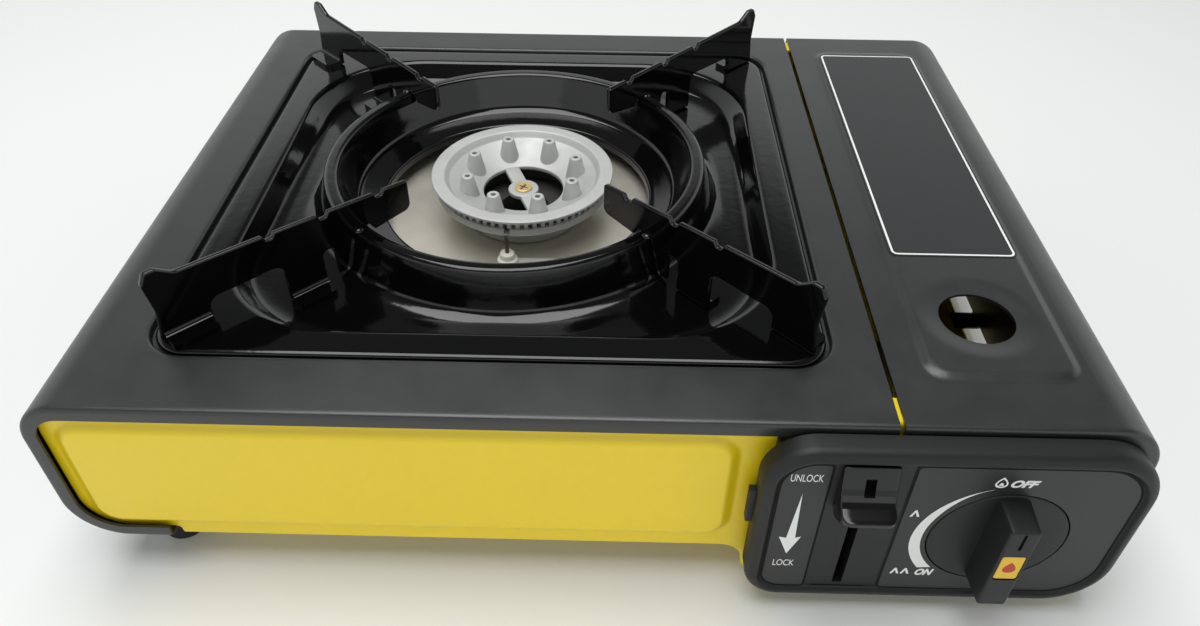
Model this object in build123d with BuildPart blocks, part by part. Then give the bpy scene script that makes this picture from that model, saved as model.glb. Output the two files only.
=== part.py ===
from build123d import *
import os
from math import cos, radians, sin, sqrt

# Portable gas stove for a butane cartridge, lid closed and lock lever up.
# Millimetres, +Z up, +Y to the rear, origin on the table under the middle of the whole.

os.makedirs("parts", exist_ok=True)

# Overall sizes that the rest hangs on
TOP = 82.0
KNOB_REACH = 20.0
SIDE_MARGIN = 30.65
SPLIT_MARGIN = 15.35
FRONT_MARGIN = 25.85
REAR_MARGIN = 21.65
LID_WIDTH = 78.9

# Cover and lid sheet
SHEET = 1.0
LIP = 5.0
BEND = 1.4
COVER_TOP_R = 14.0
COVER_LOW_R = 18.0
RETURN_Z = 19.7
RETURN_LENGTH = 32.0
SPLIT_GAP = 1.6

# Burner, from the centre outwards
HUB_DISC_R = 6.2
CENTRE_GAP = 10.0
CENTRE_R = HUB_DISC_R + CENTRE_GAP
POST_INSET = 6.3
POST_RING_R = CENTRE_R + POST_INSET
DISH_OUTER = 7.1
DISH_R = POST_RING_R + DISH_OUTER
DISH_STEP = 1.6
HEAD_RIM_IN_R = DISH_R + DISH_STEP
HEAD_RIM_WIDTH = 5.3
HEAD_R = HEAD_RIM_IN_R + HEAD_RIM_WIDTH
SKIRT_INSET = 2.7
SKIRT_R = HEAD_R - SKIRT_INSET
SKIRT_WALL = 2.2
SKIRT_IN_R = SKIRT_R - SKIRT_WALL
BASE_EDGE = 0.8
BASE_RIM_R = SKIRT_R + BASE_EDGE
BASE_WALL = 2.0
BASE_INSET = 10.6
BASE_R = BASE_RIM_R - BASE_INSET
NECK_R = 12.0
HEAD_PROUD = 0.3
HEAD_TOP = TOP + HEAD_PROUD
HEAD_RIM = 1.2
DISH_DEPTH = 8.2
DISH_FLOOR = TOP - DISH_DEPTH
DISH_EDGE = 2.2
DISH_EDGE_Z = TOP - DISH_EDGE
DISH_WALL = 1.8
BASE_DROP = 4.6
BASE_TOP = TOP - BASE_DROP
BASE_RIM = 2.8
BASE_SLOPE = 6.6
FLAME_SLOTS = 66
FLAME_WIDTH = 1.6
FLAME_HEIGHT = 3.0
SPOKE_WIDTH = 6.0
SPOKE_ANGLE = 112.0
POSTS = 8
POST_ANGLE = 20.0
POST_BASE_R = 4.0
POST_TOP_R = 2.35
POST_PROUD = 2.1
POST_TOP = TOP + POST_PROUD
POST_HOLE_R = 1.0
POST_HOLE = 3.0
CENTRE_SCREW_R = 3.6
CENTRE_SCREW_HEAD = 0.8

# Reflector and bracket under the burner
REFLECTOR_DROP = 19.0
REFLECTOR_Z = TOP - REFLECTOR_DROP
REFLECTOR_SHEET = 0.6
REFLECTOR_LAP = 12.4
NECK_GAP = 0.5
BRACKET_SHEET = 1.5
BRACKET_SPAN = 20.0
BRACKET_HALF_X = NECK_R + BRACKET_SPAN
BRACKET_HALF_Y = 15.0
BRACKET_FOOT = 14.0
SCREW_R = 1.5
SCREW_HEAD_R = 3.0
SCREW_HEAD = 1.6
SCREW_CLEAR = 0.05

# Raised ring of the tray round the burner
FLAME_GAP = 17.1
RING_HOLE_R = HEAD_R + FLAME_GAP
RING_HOLE_DROP = 10.0
RING_HOLE_Z = TOP - RING_HOLE_DROP
RING_LIP = 3.4
RING_LEDGE = 10.4
RING_LEDGE_R = RING_HOLE_R + RING_LEDGE
RING_LEDGE_RISE = 2.5
RING_LEDGE_Z = RING_HOLE_Z + RING_LEDGE_RISE
CREST_SLOPE = 5.5
CREST_IN_R = RING_LEDGE_R + CREST_SLOPE
CREST_WIDTH = 4.9
CREST_OUT_R = CREST_IN_R + CREST_WIDTH
CREST_RISE = 7.5
CREST_Z = TOP + CREST_RISE
CREST_ROUND = 1.5
RING_FOOT_SLOPE = 5.1
RING_FOOT_R = CREST_OUT_R + RING_FOOT_SLOPE
REFLECTOR_R = RING_HOLE_R + REFLECTOR_LAP

# Tray and its seat in the cover
BASIN_CHANNEL = 12.5
BASIN_LOW_HALF = RING_FOOT_R + BASIN_CHANNEL
BASIN_SLOPE = 5.0
BASIN_HALF = BASIN_LOW_HALF + BASIN_SLOPE
BASIN_ROUND = 0.4742
BASIN_R = BASIN_ROUND * BASIN_HALF
BASIN_DEPTH = 9.0
BASIN_FLOOR = TOP - BASIN_DEPTH
TRAY_RIM_WIDTH = 11.75
TRAY_HALF = BASIN_HALF + TRAY_RIM_WIDTH
TRAY_R = 13.0
TRAY_SHEET = 0.9
TRAY_SINK = 0.5
TRAY_RIM = TOP - TRAY_SINK
TRAY_LIP = 2.8
SEAT_GAP = 1.5
SEAT_Z = TRAY_RIM - TRAY_LIP
SEAT_HALF = TRAY_HALF + SEAT_GAP
LEDGE_CLEAR = 2.0

# The tray and the lid give the width and the depth
WIDTH = SIDE_MARGIN + 2 * TRAY_HALF + SPLIT_MARGIN + SPLIT_GAP + LID_WIDTH
DEPTH = FRONT_MARGIN + 2 * TRAY_HALF + REAR_MARGIN
FRONT = KNOB_REACH - (DEPTH + KNOB_REACH) / 2
REAR = FRONT + DEPTH
LEFT = -WIDTH / 2
RIGHT = WIDTH / 2
SPLIT_RIGHT = RIGHT - LID_WIDTH
SPLIT_LEFT = SPLIT_RIGHT - SPLIT_GAP
TRAY_X = LEFT + SIDE_MARGIN + TRAY_HALF
TRAY_Y = FRONT + FRONT_MARGIN + TRAY_HALF
BURNER_SHIFT = 2.3
BURNER_X = TRAY_X + BURNER_SHIFT
BURNER_Y = TRAY_Y

# Pan support arms, measured outwards from the tray centre
ARM_SHEET = 2.0
ARM_OVERHANG = 2.6
ARM_INNER_R = RING_HOLE_R - ARM_OVERHANG
ARM_CORNER_GAP = 1.41
ARM_OUTER_R = sqrt(2) * (TRAY_HALF - TRAY_R) + TRAY_R - ARM_CORNER_GAP
ARM_LOW_ABOVE = 6.0
ARM_INNER_LOW = TOP + ARM_LOW_ABOVE
ARM_INNER_ABOVE = 18.0
ARM_INNER_TOP = TOP + ARM_INNER_ABOVE
ARM_OUTER_ABOVE = 23.0
ARM_OUTER_TOP = TOP + ARM_OUTER_ABOVE
ARM_RISE = (ARM_OUTER_TOP - ARM_INNER_TOP) / (ARM_OUTER_R - ARM_INNER_R)
ARM_ARCH_ABOVE = 4.4
ARM_UNDER = TOP + ARM_ARCH_ABOVE
HORN_BACK = 3.7
HORN_R = ARM_OUTER_R - HORN_BACK
HORN_ABOVE = 26.3
HORN_TOP = TOP + HORN_ABOVE
HORN_ROUND = 1.6
HORN_ROOT = 7.0
HORN_WAIST = 1.4
NOTCH_STEPS = (10.0, 32.2, 52.0)
NOTCH_WIDTH = 4.4
NOTCH_DEPTH = 1.9
ARM_NECK = 4.1
ARM_NECK_R = RING_FOOT_R + ARM_NECK
LEG_GAP = 4.7
LEG_INNER_R = ARM_NECK_R + LEG_GAP
LEG_WIDTH = 14.7
LEG_OUTER_R = LEG_INNER_R + LEG_WIDTH
OUTER_FOOT = 17.4
OUTER_FOOT_R = ARM_OUTER_R - OUTER_FOOT
ARCH_ABOVE = 7.2
ARCH_Z = TOP + ARCH_ABOVE
SMALL_ARCH_ABOVE = 4.8
SMALL_ARCH_Z = TOP + SMALL_ARCH_ABOVE
ARCH_ROUND = 3.0
FOOT_FLANGE = 8.0
ARM_ANGLES = {"front_left": 225, "front_right": 315, "rear_right": 45, "rear_left": 135}

# Lid over the cartridge bay
LID_R = 16.0
HINGE_EAR_R = 4.0
HINGE_X = RIGHT - HINGE_EAR_R
HINGE_Z = 10.0
HINGE_PIN_R = 1.4
HINGE_LUG_R = 2.7
HINGE_CLEAR = 0.06
PIN_HEAD_R = 2.6
PIN_HEAD = 1.0
LID_PAD_MARGIN = 10.4
LID_PAD_EDGE = 18.5
LID_PAD_WIDTH = LID_WIDTH - LID_PAD_MARGIN - LID_PAD_EDGE
LID_PAD_X = SPLIT_RIGHT + LID_PAD_MARGIN + LID_PAD_WIDTH / 2
LID_PAD_INSET = 19.5
LID_PAD_FRONT = FRONT + LID_PAD_INSET
LID_PAD_REAR_INSET = 17.0
LID_PAD_REAR = REAR - LID_PAD_REAR_INSET
LID_PAD_R = 7.0
LID_PAD_RAISE = 1.2
FINGER_SHIFT = 1.1
FINGER_X = LID_PAD_X - FINGER_SHIFT
FINGER_INSET = 29.5
FINGER_Y = LID_PAD_FRONT + FINGER_INSET
FINGER_SHARE = 0.248
FINGER_R = FINGER_SHARE * LID_PAD_WIDTH
FINGER_SLOPE = 8.0
FINGER_DISH_R = FINGER_R + FINGER_SLOPE
FINGER_DISH = 1.0
LID_TAB_WIDTH = 10.0
LID_TAB_REACH = 11.0
LID_TAB_Z = 8.0

# Valve, lever and panel, placed from the bay's middle to the left
VALVE_SHIFT = 4.15
KNOB_X = SPLIT_RIGHT + LID_WIDTH / 2 - VALVE_SHIFT
VALVE_MARGIN = 8.45
VALVE_FLANGE_HALF_X = LID_WIDTH / 2 - VALVE_MARGIN
LEVER_GUIDE_GAP = 14.3
LEVER_X = KNOB_X - VALVE_FLANGE_HALF_X - LEVER_GUIDE_GAP
PANEL_LEFT_MARGIN = 30.9
PANEL_LEFT = LEVER_X - PANEL_LEFT_MARGIN
PANEL_RIGHT_GAP = 1.3
PANEL_RIGHT = RIGHT - PANEL_RIGHT_GAP
PANEL_LOW = 7.0
PANEL_TOP_GAP = 2.0
PANEL_TOP = TOP - PANEL_TOP_GAP
KNOB_DROP = 2.5
KNOB_Z = (PANEL_LOW + PANEL_TOP) / 2 - KNOB_DROP

# Chassis
BODY_SHEET = 1.0
BODY_INSET = 3.0
BODY_LEFT_GAP = 2.5
BODY_LEFT = LEFT + SHEET + BODY_LEFT_GAP
BODY_RIGHT_GAP = 6.5
BODY_RIGHT = RIGHT - BODY_RIGHT_GAP
BODY_TOP = TOP - SHEET
BODY_FLANGE = 10.0
BODY_LOW_R = 15.0
BODY_TOP_R = 13.0
FLOOR_LEFT = 17.5
FLOOR_RIGHT = 4.0
TUCK_CLEAR = 0.3
TUCK_Z = RETURN_Z + SHEET + TUCK_CLEAR
TUCK_GAP = 1.5
TUCK_X = LEFT + RETURN_LENGTH + TUCK_GAP
TUCK_R = 1.4
STEP_INSET = 0.8
STEP_X = PANEL_LEFT + STEP_INSET
STEP_R = 8.5
STEP_LOW_R = 3.5
FLOOR_EDGE_R = 4.0
FLOOR_UPTURN = 2.0
BODY_FRONT = FRONT + BODY_INSET
BODY_REAR = REAR - BODY_INSET
BODY_FRONT_IN = BODY_FRONT + BODY_SHEET
EMBOSS_SIDE = 9.0
EMBOSS_LEFT = LEFT + EMBOSS_SIDE
EMBOSS_PANEL_GAP = 6.7
EMBOSS_RIGHT = PANEL_LEFT - EMBOSS_PANEL_GAP
EMBOSS_FLOOR_GAP = 6.5
EMBOSS_LOW = FLOOR_LEFT + EMBOSS_FLOOR_GAP
EMBOSS_TOP_GAP = 9.5
EMBOSS_TOP = TOP - EMBOSS_TOP_GAP
EMBOSS_R = 9.0
EMBOSS_RAISE = 2.0
EMBOSS_TAPER = 45.0

# Partition and cartridge clamp
PARTITION_GAP = 1.0
PARTITION_X = SPLIT_LEFT - PARTITION_GAP
PARTITION_SHEET = 0.8
PARTITION_FOOT = 8.0
PARTITION_INSET = 12.0
PARTITION_FRONT = FRONT + PARTITION_INSET
PARTITION_TOP_GAP = 4.0
CLAMP_INSET = 66.0
CLAMP_Y = FRONT + CLAMP_INSET
CLAMP_SHEET = 1.5
CLAMP_MARGIN = 12.45
CLAMP_HALF = LID_WIDTH / 2 - CLAMP_MARGIN
CLAMP_ABOVE = 15.0
CLAMP_TOP = KNOB_Z + CLAMP_ABOVE
CLAMP_CHEEK = 10.0
CLAMP_NECK_R = CLAMP_HALF - CLAMP_CHEEK
CLAMP_FOOT = 12.0
CLAMP_CLEAR = 0.3

# Control panel
PANEL_GAP = 0.8
PANEL_RIM = 9.5
PANEL_FACE = 8.0
PANEL_WALL = 2.5
PANEL_EDGE_R = 3.6
PANEL_RIM_WIDTH = 4.4
PANEL_CORNERS = {"low_left": 12.0, "low_right": 20.0, "top_right": 20.0, "top_left": 16.0}
SKIRT_LEFT_INSET = 4.8
SKIRT_LEFT = PANEL_LEFT + SKIRT_LEFT_INSET
SKIRT_RIGHT_INSET = 12.7
SKIRT_RIGHT = PANEL_RIGHT - SKIRT_RIGHT_INSET
SKIRT_LOW_INSET = 4.0
SKIRT_LOW = PANEL_LOW + SKIRT_LOW_INSET
SKIRT_TOP_INSET = 6.0
SKIRT_TOP = PANEL_TOP - SKIRT_TOP_INSET
PANEL_TAB = (3.0, 15.0, 2.0)
PANEL_TAB_RISE = 7.0
PANEL_TAB_Z = KNOB_Z + PANEL_TAB_RISE
LABEL_SHEET = 0.3
LABEL_MARGIN = 0.6
LOCK_LABEL_GAP = 10.5
LOCK_LABEL_RIGHT = LEVER_X - LOCK_LABEL_GAP
KNOB_LABEL_GAP = 13.1
KNOB_LABEL_LEFT = LEVER_X + KNOB_LABEL_GAP
LABEL_R = 2.0
LID_LABEL_GAP = 34.0
LID_LABEL_FRONT = FINGER_Y + LID_LABEL_GAP
LID_LABEL_EDGE = 4.5
LID_LABEL_REAR = LID_PAD_REAR - LID_LABEL_EDGE
LID_LABEL_SIDE = 3.2
LID_LABEL_WIDTH = LID_PAD_WIDTH - 2 * LID_LABEL_SIDE
LID_LABEL_SHEET = 0.2
BOSS_R = 3.6
BOSS_LEFT_INSET = 9.8
BOSS_LEFT = PANEL_LEFT + BOSS_LEFT_INSET
BOSS_LOW_INSET = 9.0
BOSS_LOW = PANEL_LOW + BOSS_LOW_INSET
BOSS_TOP_INSET = 12.0
BOSS_TOP = PANEL_TOP - BOSS_TOP_INSET
BOSS_RIGHT_INSET = 18.7
BOSS_RIGHT = PANEL_RIGHT - BOSS_RIGHT_INSET
BOSS_SPOTS = ((BOSS_LEFT, BOSS_LOW), (BOSS_LEFT, BOSS_TOP), (BOSS_RIGHT, BOSS_LOW))

# Knob
DIAL_R = 21.4
DIAL_GAP = 0.4
DIAL_SHEET = 3.4
DIAL_PROUD = 0.5
GRIP_LENGTH = 39.0
GRIP_WIDTH = 10.2
GRIP_TAPER = 3.0
GRIP_EDGE_R = 0.8
INSERT_WIDTH = 7.2
INSERT_HEIGHT = 12.0
INSERT_RISE = 1.0
INSERT_SHEET = 0.8
POINTER_LENGTH = 9.1
POINTER_WIDTH = 1.0
HUB_R = 7.0
HUB_GAP = 1.0
SHAFT_R = 3.0
SHAFT_FIT = 0.05
SHAFT_HOLE_GAP = 1.0

# Lock lever
LEVER_TOP_GAP = 5.0
LEVER_TOP = PANEL_TOP - LEVER_TOP_GAP
LEVER_STEM_DROP = 14.5
LEVER_REST_Z = LEVER_TOP - LEVER_STEM_DROP
LEVER_UNDER = 6.5
LEVER_LOW = LEVER_REST_Z - LEVER_UNDER
LEVER_REST_GAP = 19.5
LEVER_TRAVEL = LEVER_REST_Z - PANEL_LOW - LEVER_REST_GAP
LEVER_WIDTH = 16.6
LEVER_TOP_SHEET = 0.8
LEVER_RIDGE_DROP = 7.5
LEVER_RIDGE_Z = LEVER_TOP - LEVER_RIDGE_DROP
LEVER_RIDGE = 3.0
LEVER_LIP_DROP = 6.0
LEVER_LIP_Z = LEVER_RIDGE_Z - LEVER_LIP_DROP
LEVER_LIP = 1.4
LEVER_REACH = 11.1
LEVER_SAG = 1.8
LEVER_NOTCH_WIDTH = 3.2
LEVER_NOTCH_HALF = 2.5
LEVER_GAP = 0.4
STEM_WIDTH = 2.4
STEM_HEIGHT = 8.0
SLOT_GAP = 0.4
SLOT_SPARE = 8.0
SLIDE_SHEET = 1.5
SLIDE_HALF = 4.2
SLIDE_HEIGHT = 30.0
GUIDE_SHEET = 1.0
GUIDE_GAP = 0.3
GUIDE_FLANGE = 3.5

# Gas valve
VALVE_R = 16.0
VALVE_FLANGE = 3.0
VALVE_FLANGE_HALF_Z = 20.0
VALVE_LENGTH = 28.0
VALVE_NECK_R = 10.5
VALVE_NECK = 8.0
VALVE_BORE = 14.0
INLET_R = 4.0
SEAL_SHEET = 3.0
SEAL_R = 8.0
OUTLET_R = 6.5
OUTLET_REACH = 3.4
OUTLET_X = KNOB_X - VALVE_R - OUTLET_REACH
NOZZLE_R = 4.0
NOZZLE_TIP_R = 2.2
NOZZLE_LENGTH = 9.0
NOZZLE_HOLE_R = 0.6
GAS_INSET = 22.0
GAS_Y = FRONT + GAS_INSET
GAS_DROP = 19.0
GAS_Z = REFLECTOR_Z - GAS_DROP

# Mixing tube from the valve to the burner
TUBE_R = 8.0
TUBE_WALL = 1.0
TUBE_LAP = 1.0
TUBE_START_X = OUTLET_X - NOZZLE_LENGTH + TUBE_LAP
TUBE_BEND_GAP = 5.0
TUBE_BEND_X = STEP_X + TUBE_BEND_GAP
TUBE_BEND_R = 40.0
SOCKET_REACH = 26.0
SOCKET_DEPTH = 10.0
SOCKET_WALL = 2.0
TUBE_FIT = 0.05
NECK_LOW = GAS_Z - TUBE_R - SOCKET_WALL

# Igniter and electrode
IGNITER_GAP = 8.4
IGNITER_X = KNOB_X - VALVE_R - IGNITER_GAP
IGNITER_DROP = 13.0
IGNITER_Z = KNOB_Z - IGNITER_DROP
IGNITER_SIZE = 9.0
IGNITER_LENGTH = 24.0
WIRE_R = 1.2
ELECTRODE_SHIFT = 3.5
ELECTRODE_X = BURNER_X - ELECTRODE_SHIFT
ELECTRODE_GAP = 1.4
ELECTRODE_Y = BURNER_Y - BASE_RIM_R - ELECTRODE_GAP
CERAMIC_R = 2.9
CERAMIC_COLLAR_R = 4.0
CERAMIC_COLLAR = 2.4
CERAMIC_ABOVE = 5.0
CERAMIC_BELOW = 8.0
ROD_R = 0.7
ROD_DROP = 1.9
ROD_TOP = BASE_TOP - ROD_DROP
NOTCH_HALF = 1.2
NOTCH = 1.8
CLIP_SHEET = 1.0
CLIP_WIDTH = 3.4
CLIP_LENGTH = 21.0
CLIP_POINT = 4.0
WIRE_FLOOR_GAP = 0.3
WIRE_TURN_R = 8.0

# Feet
FOOT_TOP_R = 8.5
FOOT_LOW_R = 7.5
FOOT_INSET_LEFT = 24.0
FOOT_INSET_RIGHT = 18.0
FOOT_INSET_Y = 20.0


def wall_plane(y):
    """Upright plane at depth y, drawn in X and Z, whose normal points to the front."""
    return Plane(origin=(0, y, 0), x_dir=(1, 0, 0), z_dir=(0, -1, 0))


def save(builder, name):
    """Label a finished piece and write it to its own file."""
    builder.part.label = name
    export_step(builder.part, f"parts/{name}.step")


def cover_path(inset):
    """Corners of the cover's bent sheet, seen from the front, moved inwards."""
    side = LEFT + inset
    return [
        (SPLIT_LEFT, TOP - inset),
        (side, TOP - inset),
        (side, RETURN_Z + inset),
        (LEFT + RETURN_LENGTH, RETURN_Z + inset),
    ]


def lid_path(inset):
    """Corners of the lid's bent sheet, seen from the front, moved inwards."""
    side = RIGHT - inset
    return [(SPLIT_RIGHT, TOP - inset), (side, TOP - inset), (side, HINGE_Z)]


def bent_outline(y, path, radii, wall):
    """Closed outline, at depth y, of a sheet of this wall bent round the path's corners."""
    outer = path(0)
    inner = path(wall)
    with BuildSketch(wall_plane(y)) as outline:
        with BuildLine():
            FilletPolyline(*outer, radius=radii)
            FilletPolyline(*inner, radius=[radius - wall for radius in radii])
            Line(outer[0], inner[0])
            Line(outer[-1], inner[-1])
        make_face()
    return outline.sketch


def square_outline(z, half, radius):
    """Rounded square about the tray centre at height z."""
    with BuildSketch(Plane.XY.offset(z)) as outline:
        with Locations((TRAY_X, TRAY_Y)):
            RectangleRounded(2 * half, 2 * half, radius)
    return outline.sketch


def round_outline(plane, x, y, radius):
    """Circle on a plane."""
    with BuildSketch(plane) as outline:
        with Locations((x, y)):
            Circle(radius)
    return outline.sketch


def box_outline(plane, left, low, right, high):
    """Rectangle on a plane, given by its corners."""
    with BuildSketch(plane) as outline:
        with Locations(((left + right) / 2, (low + high) / 2)):
            Rectangle(right - left, high - low)
    return outline.sketch


def polygon_outline(plane, points):
    """Straight-sided outline on a plane."""
    with BuildSketch(plane) as outline:
        with BuildLine():
            Polyline(*points, close=True)
        make_face()
    return outline.sketch


def turned_plane(x, y):
    """Upright plane through a vertical axis, drawn in radius and height."""
    return Plane(origin=(x, y, 0), x_dir=(1, 0, 0), z_dir=(0, -1, 0))


# Top cover, one bent sheet with a pressed seat for the tray
COVER_RADII = [COVER_TOP_R, COVER_LOW_R]
LEDGE_HALF = BASIN_HALF + LEDGE_CLEAR
with BuildPart() as top_cover:
    extrude(bent_outline(REAR, cover_path, COVER_RADII, SHEET), amount=DEPTH)
    extrude(bent_outline(FRONT + SHEET, cover_path, COVER_RADII, LIP), amount=SHEET)
    extrude(bent_outline(REAR, cover_path, COVER_RADII, LIP), amount=SHEET)
    top_edges = top_cover.edges().filter_by(Axis.X).group_by(Axis.Z)[-1].sort_by(Axis.Y)
    fillet([top_edges[0], top_edges[-1]], radius=BEND)
    extrude(
        square_outline(SEAT_Z - SHEET, SEAT_HALF + SHEET, TRAY_R + SEAT_GAP + SHEET),
        amount=TOP - SEAT_Z + SHEET,
    )
    extrude(square_outline(SEAT_Z, SEAT_HALF, TRAY_R + SEAT_GAP), amount=TOP, mode=Mode.SUBTRACT)
    extrude(
        square_outline(SEAT_Z - SHEET, LEDGE_HALF, BASIN_R + LEDGE_CLEAR),
        amount=SHEET,
        mode=Mode.SUBTRACT,
    )
save(top_cover, "top_cover")


# Chassis, a yellow pressing that is open above and to the right
def chassis_outline(y, inset):
    """Front view of the chassis at depth y, moved inwards."""
    with BuildSketch(wall_plane(y)) as outline:
        with BuildLine():
            FilletPolyline(
                (BODY_LEFT, BODY_TOP),
                (BODY_LEFT, TUCK_Z),
                (TUCK_X, TUCK_Z),
                (TUCK_X, FLOOR_LEFT),
                (STEP_X, FLOOR_LEFT),
                (STEP_X, FLOOR_RIGHT),
                (BODY_RIGHT, FLOOR_RIGHT),
                (BODY_RIGHT, BODY_TOP),
                radius=[
                    BODY_TOP_R,
                    BODY_LOW_R,
                    TUCK_R,
                    TUCK_R,
                    STEP_R,
                    STEP_LOW_R,
                    FLOOR_EDGE_R,
                    BODY_TOP_R,
                ],
                close=True,
            )
        make_face()
        if inset:
            offset(amount=-inset, mode=Mode.REPLACE)
    return outline.sketch


def emboss_outline(y):
    """Raised field of the front wall."""
    width = EMBOSS_RIGHT - EMBOSS_LEFT
    height = EMBOSS_TOP - EMBOSS_LOW
    with BuildSketch(wall_plane(y)) as outline:
        with Locations(((EMBOSS_LEFT + EMBOSS_RIGHT) / 2, (EMBOSS_LOW + EMBOSS_TOP) / 2)):
            RectangleRounded(width, height, EMBOSS_R)
    return outline.sketch


LEVER_LOW_Z = LEVER_REST_Z - LEVER_TRAVEL
SLOT_LOW = LEVER_LOW_Z - STEM_HEIGHT / 2 - SLOT_SPARE
SLOT_TOP = LEVER_REST_Z + STEM_HEIGHT / 2 + SLOT_GAP
SLOT_HALF = STEM_WIDTH / 2 + SLOT_GAP
BODY_LENGTH = BODY_REAR - BODY_FRONT
VALVE_SCREW_X = VALVE_FLANGE_HALF_X - 1.3 * SCREW_HEAD_R
VALVE_SCREWS = [(KNOB_X - VALVE_SCREW_X, KNOB_Z + VALVE_R), (KNOB_X + VALVE_SCREW_X, KNOB_Z - VALVE_R)]
with BuildPart() as chassis:
    extrude(chassis_outline(BODY_REAR, 0), amount=BODY_LENGTH)
    extrude(
        chassis_outline(BODY_REAR - BODY_SHEET, BODY_SHEET),
        amount=BODY_LENGTH - 2 * BODY_SHEET,
        mode=Mode.SUBTRACT,
    )
    extrude(
        box_outline(
            Plane.XY.offset(TUCK_Z + BODY_LOW_R),
            BODY_LEFT + BODY_FLANGE,
            BODY_FRONT + BODY_FLANGE,
            BODY_RIGHT,
            BODY_REAR - BODY_FLANGE,
        ),
        amount=TOP,
        mode=Mode.SUBTRACT,
    )
    extrude(
        box_outline(
            wall_plane(BODY_REAR - BODY_SHEET),
            BODY_RIGHT - BODY_TOP_R,
            FLOOR_RIGHT + BODY_SHEET + FLOOR_UPTURN,
            BODY_RIGHT,
            BODY_TOP,
        ),
        amount=BODY_LENGTH - 2 * BODY_SHEET,
        mode=Mode.SUBTRACT,
    )
    extrude(emboss_outline(BODY_FRONT), amount=EMBOSS_RAISE, taper=EMBOSS_TAPER)
    extrude(
        emboss_outline(BODY_FRONT_IN), amount=EMBOSS_RAISE, taper=EMBOSS_TAPER, mode=Mode.SUBTRACT
    )
    for wall_y in (BODY_FRONT_IN, BODY_REAR):
        extrude(round_outline(wall_plane(wall_y), HINGE_X, HINGE_Z, HINGE_LUG_R), amount=BODY_SHEET)
        extrude(
            round_outline(wall_plane(wall_y), HINGE_X, HINGE_Z, HINGE_PIN_R + HINGE_CLEAR),
            amount=BODY_SHEET,
            mode=Mode.SUBTRACT,
        )
    extrude(
        round_outline(wall_plane(BODY_FRONT_IN), KNOB_X, KNOB_Z, SHAFT_R + SHAFT_HOLE_GAP),
        amount=BODY_SHEET,
        mode=Mode.SUBTRACT,
    )
    extrude(
        box_outline(
            wall_plane(BODY_FRONT_IN), LEVER_X - SLOT_HALF, SLOT_LOW, LEVER_X + SLOT_HALF, SLOT_TOP
        ),
        amount=BODY_SHEET,
        mode=Mode.SUBTRACT,
    )
    for spot in list(BOSS_SPOTS) + VALVE_SCREWS:
        extrude(
            round_outline(wall_plane(BODY_FRONT_IN), *spot, SCREW_R + SCREW_CLEAR),
            amount=BODY_SHEET,
            mode=Mode.SUBTRACT,
        )
    for side in (-1, 1):
        with Locations(
            (BURNER_X + side * (BRACKET_HALF_X + BRACKET_FOOT / 2), BURNER_Y, FLOOR_LEFT)
        ):
            Cylinder(
                SCREW_R + SCREW_CLEAR,
                BODY_SHEET,
                align=(Align.CENTER, Align.CENTER, Align.MIN),
                mode=Mode.SUBTRACT,
            )
save(chassis, "chassis")


# Lid, a bent sheet with a raised pad, a dished finger hole and hinge ears
LID_LENGTH = LID_PAD_REAR - LID_PAD_FRONT


def pad_outline(z):
    """Raised pad of the lid at height z."""
    with BuildSketch(Plane.XY.offset(z)) as outline:
        with Locations((LID_PAD_X, (LID_PAD_FRONT + LID_PAD_REAR) / 2)):
            RectangleRounded(LID_PAD_WIDTH, LID_LENGTH, LID_PAD_R)
    return outline.sketch


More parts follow.
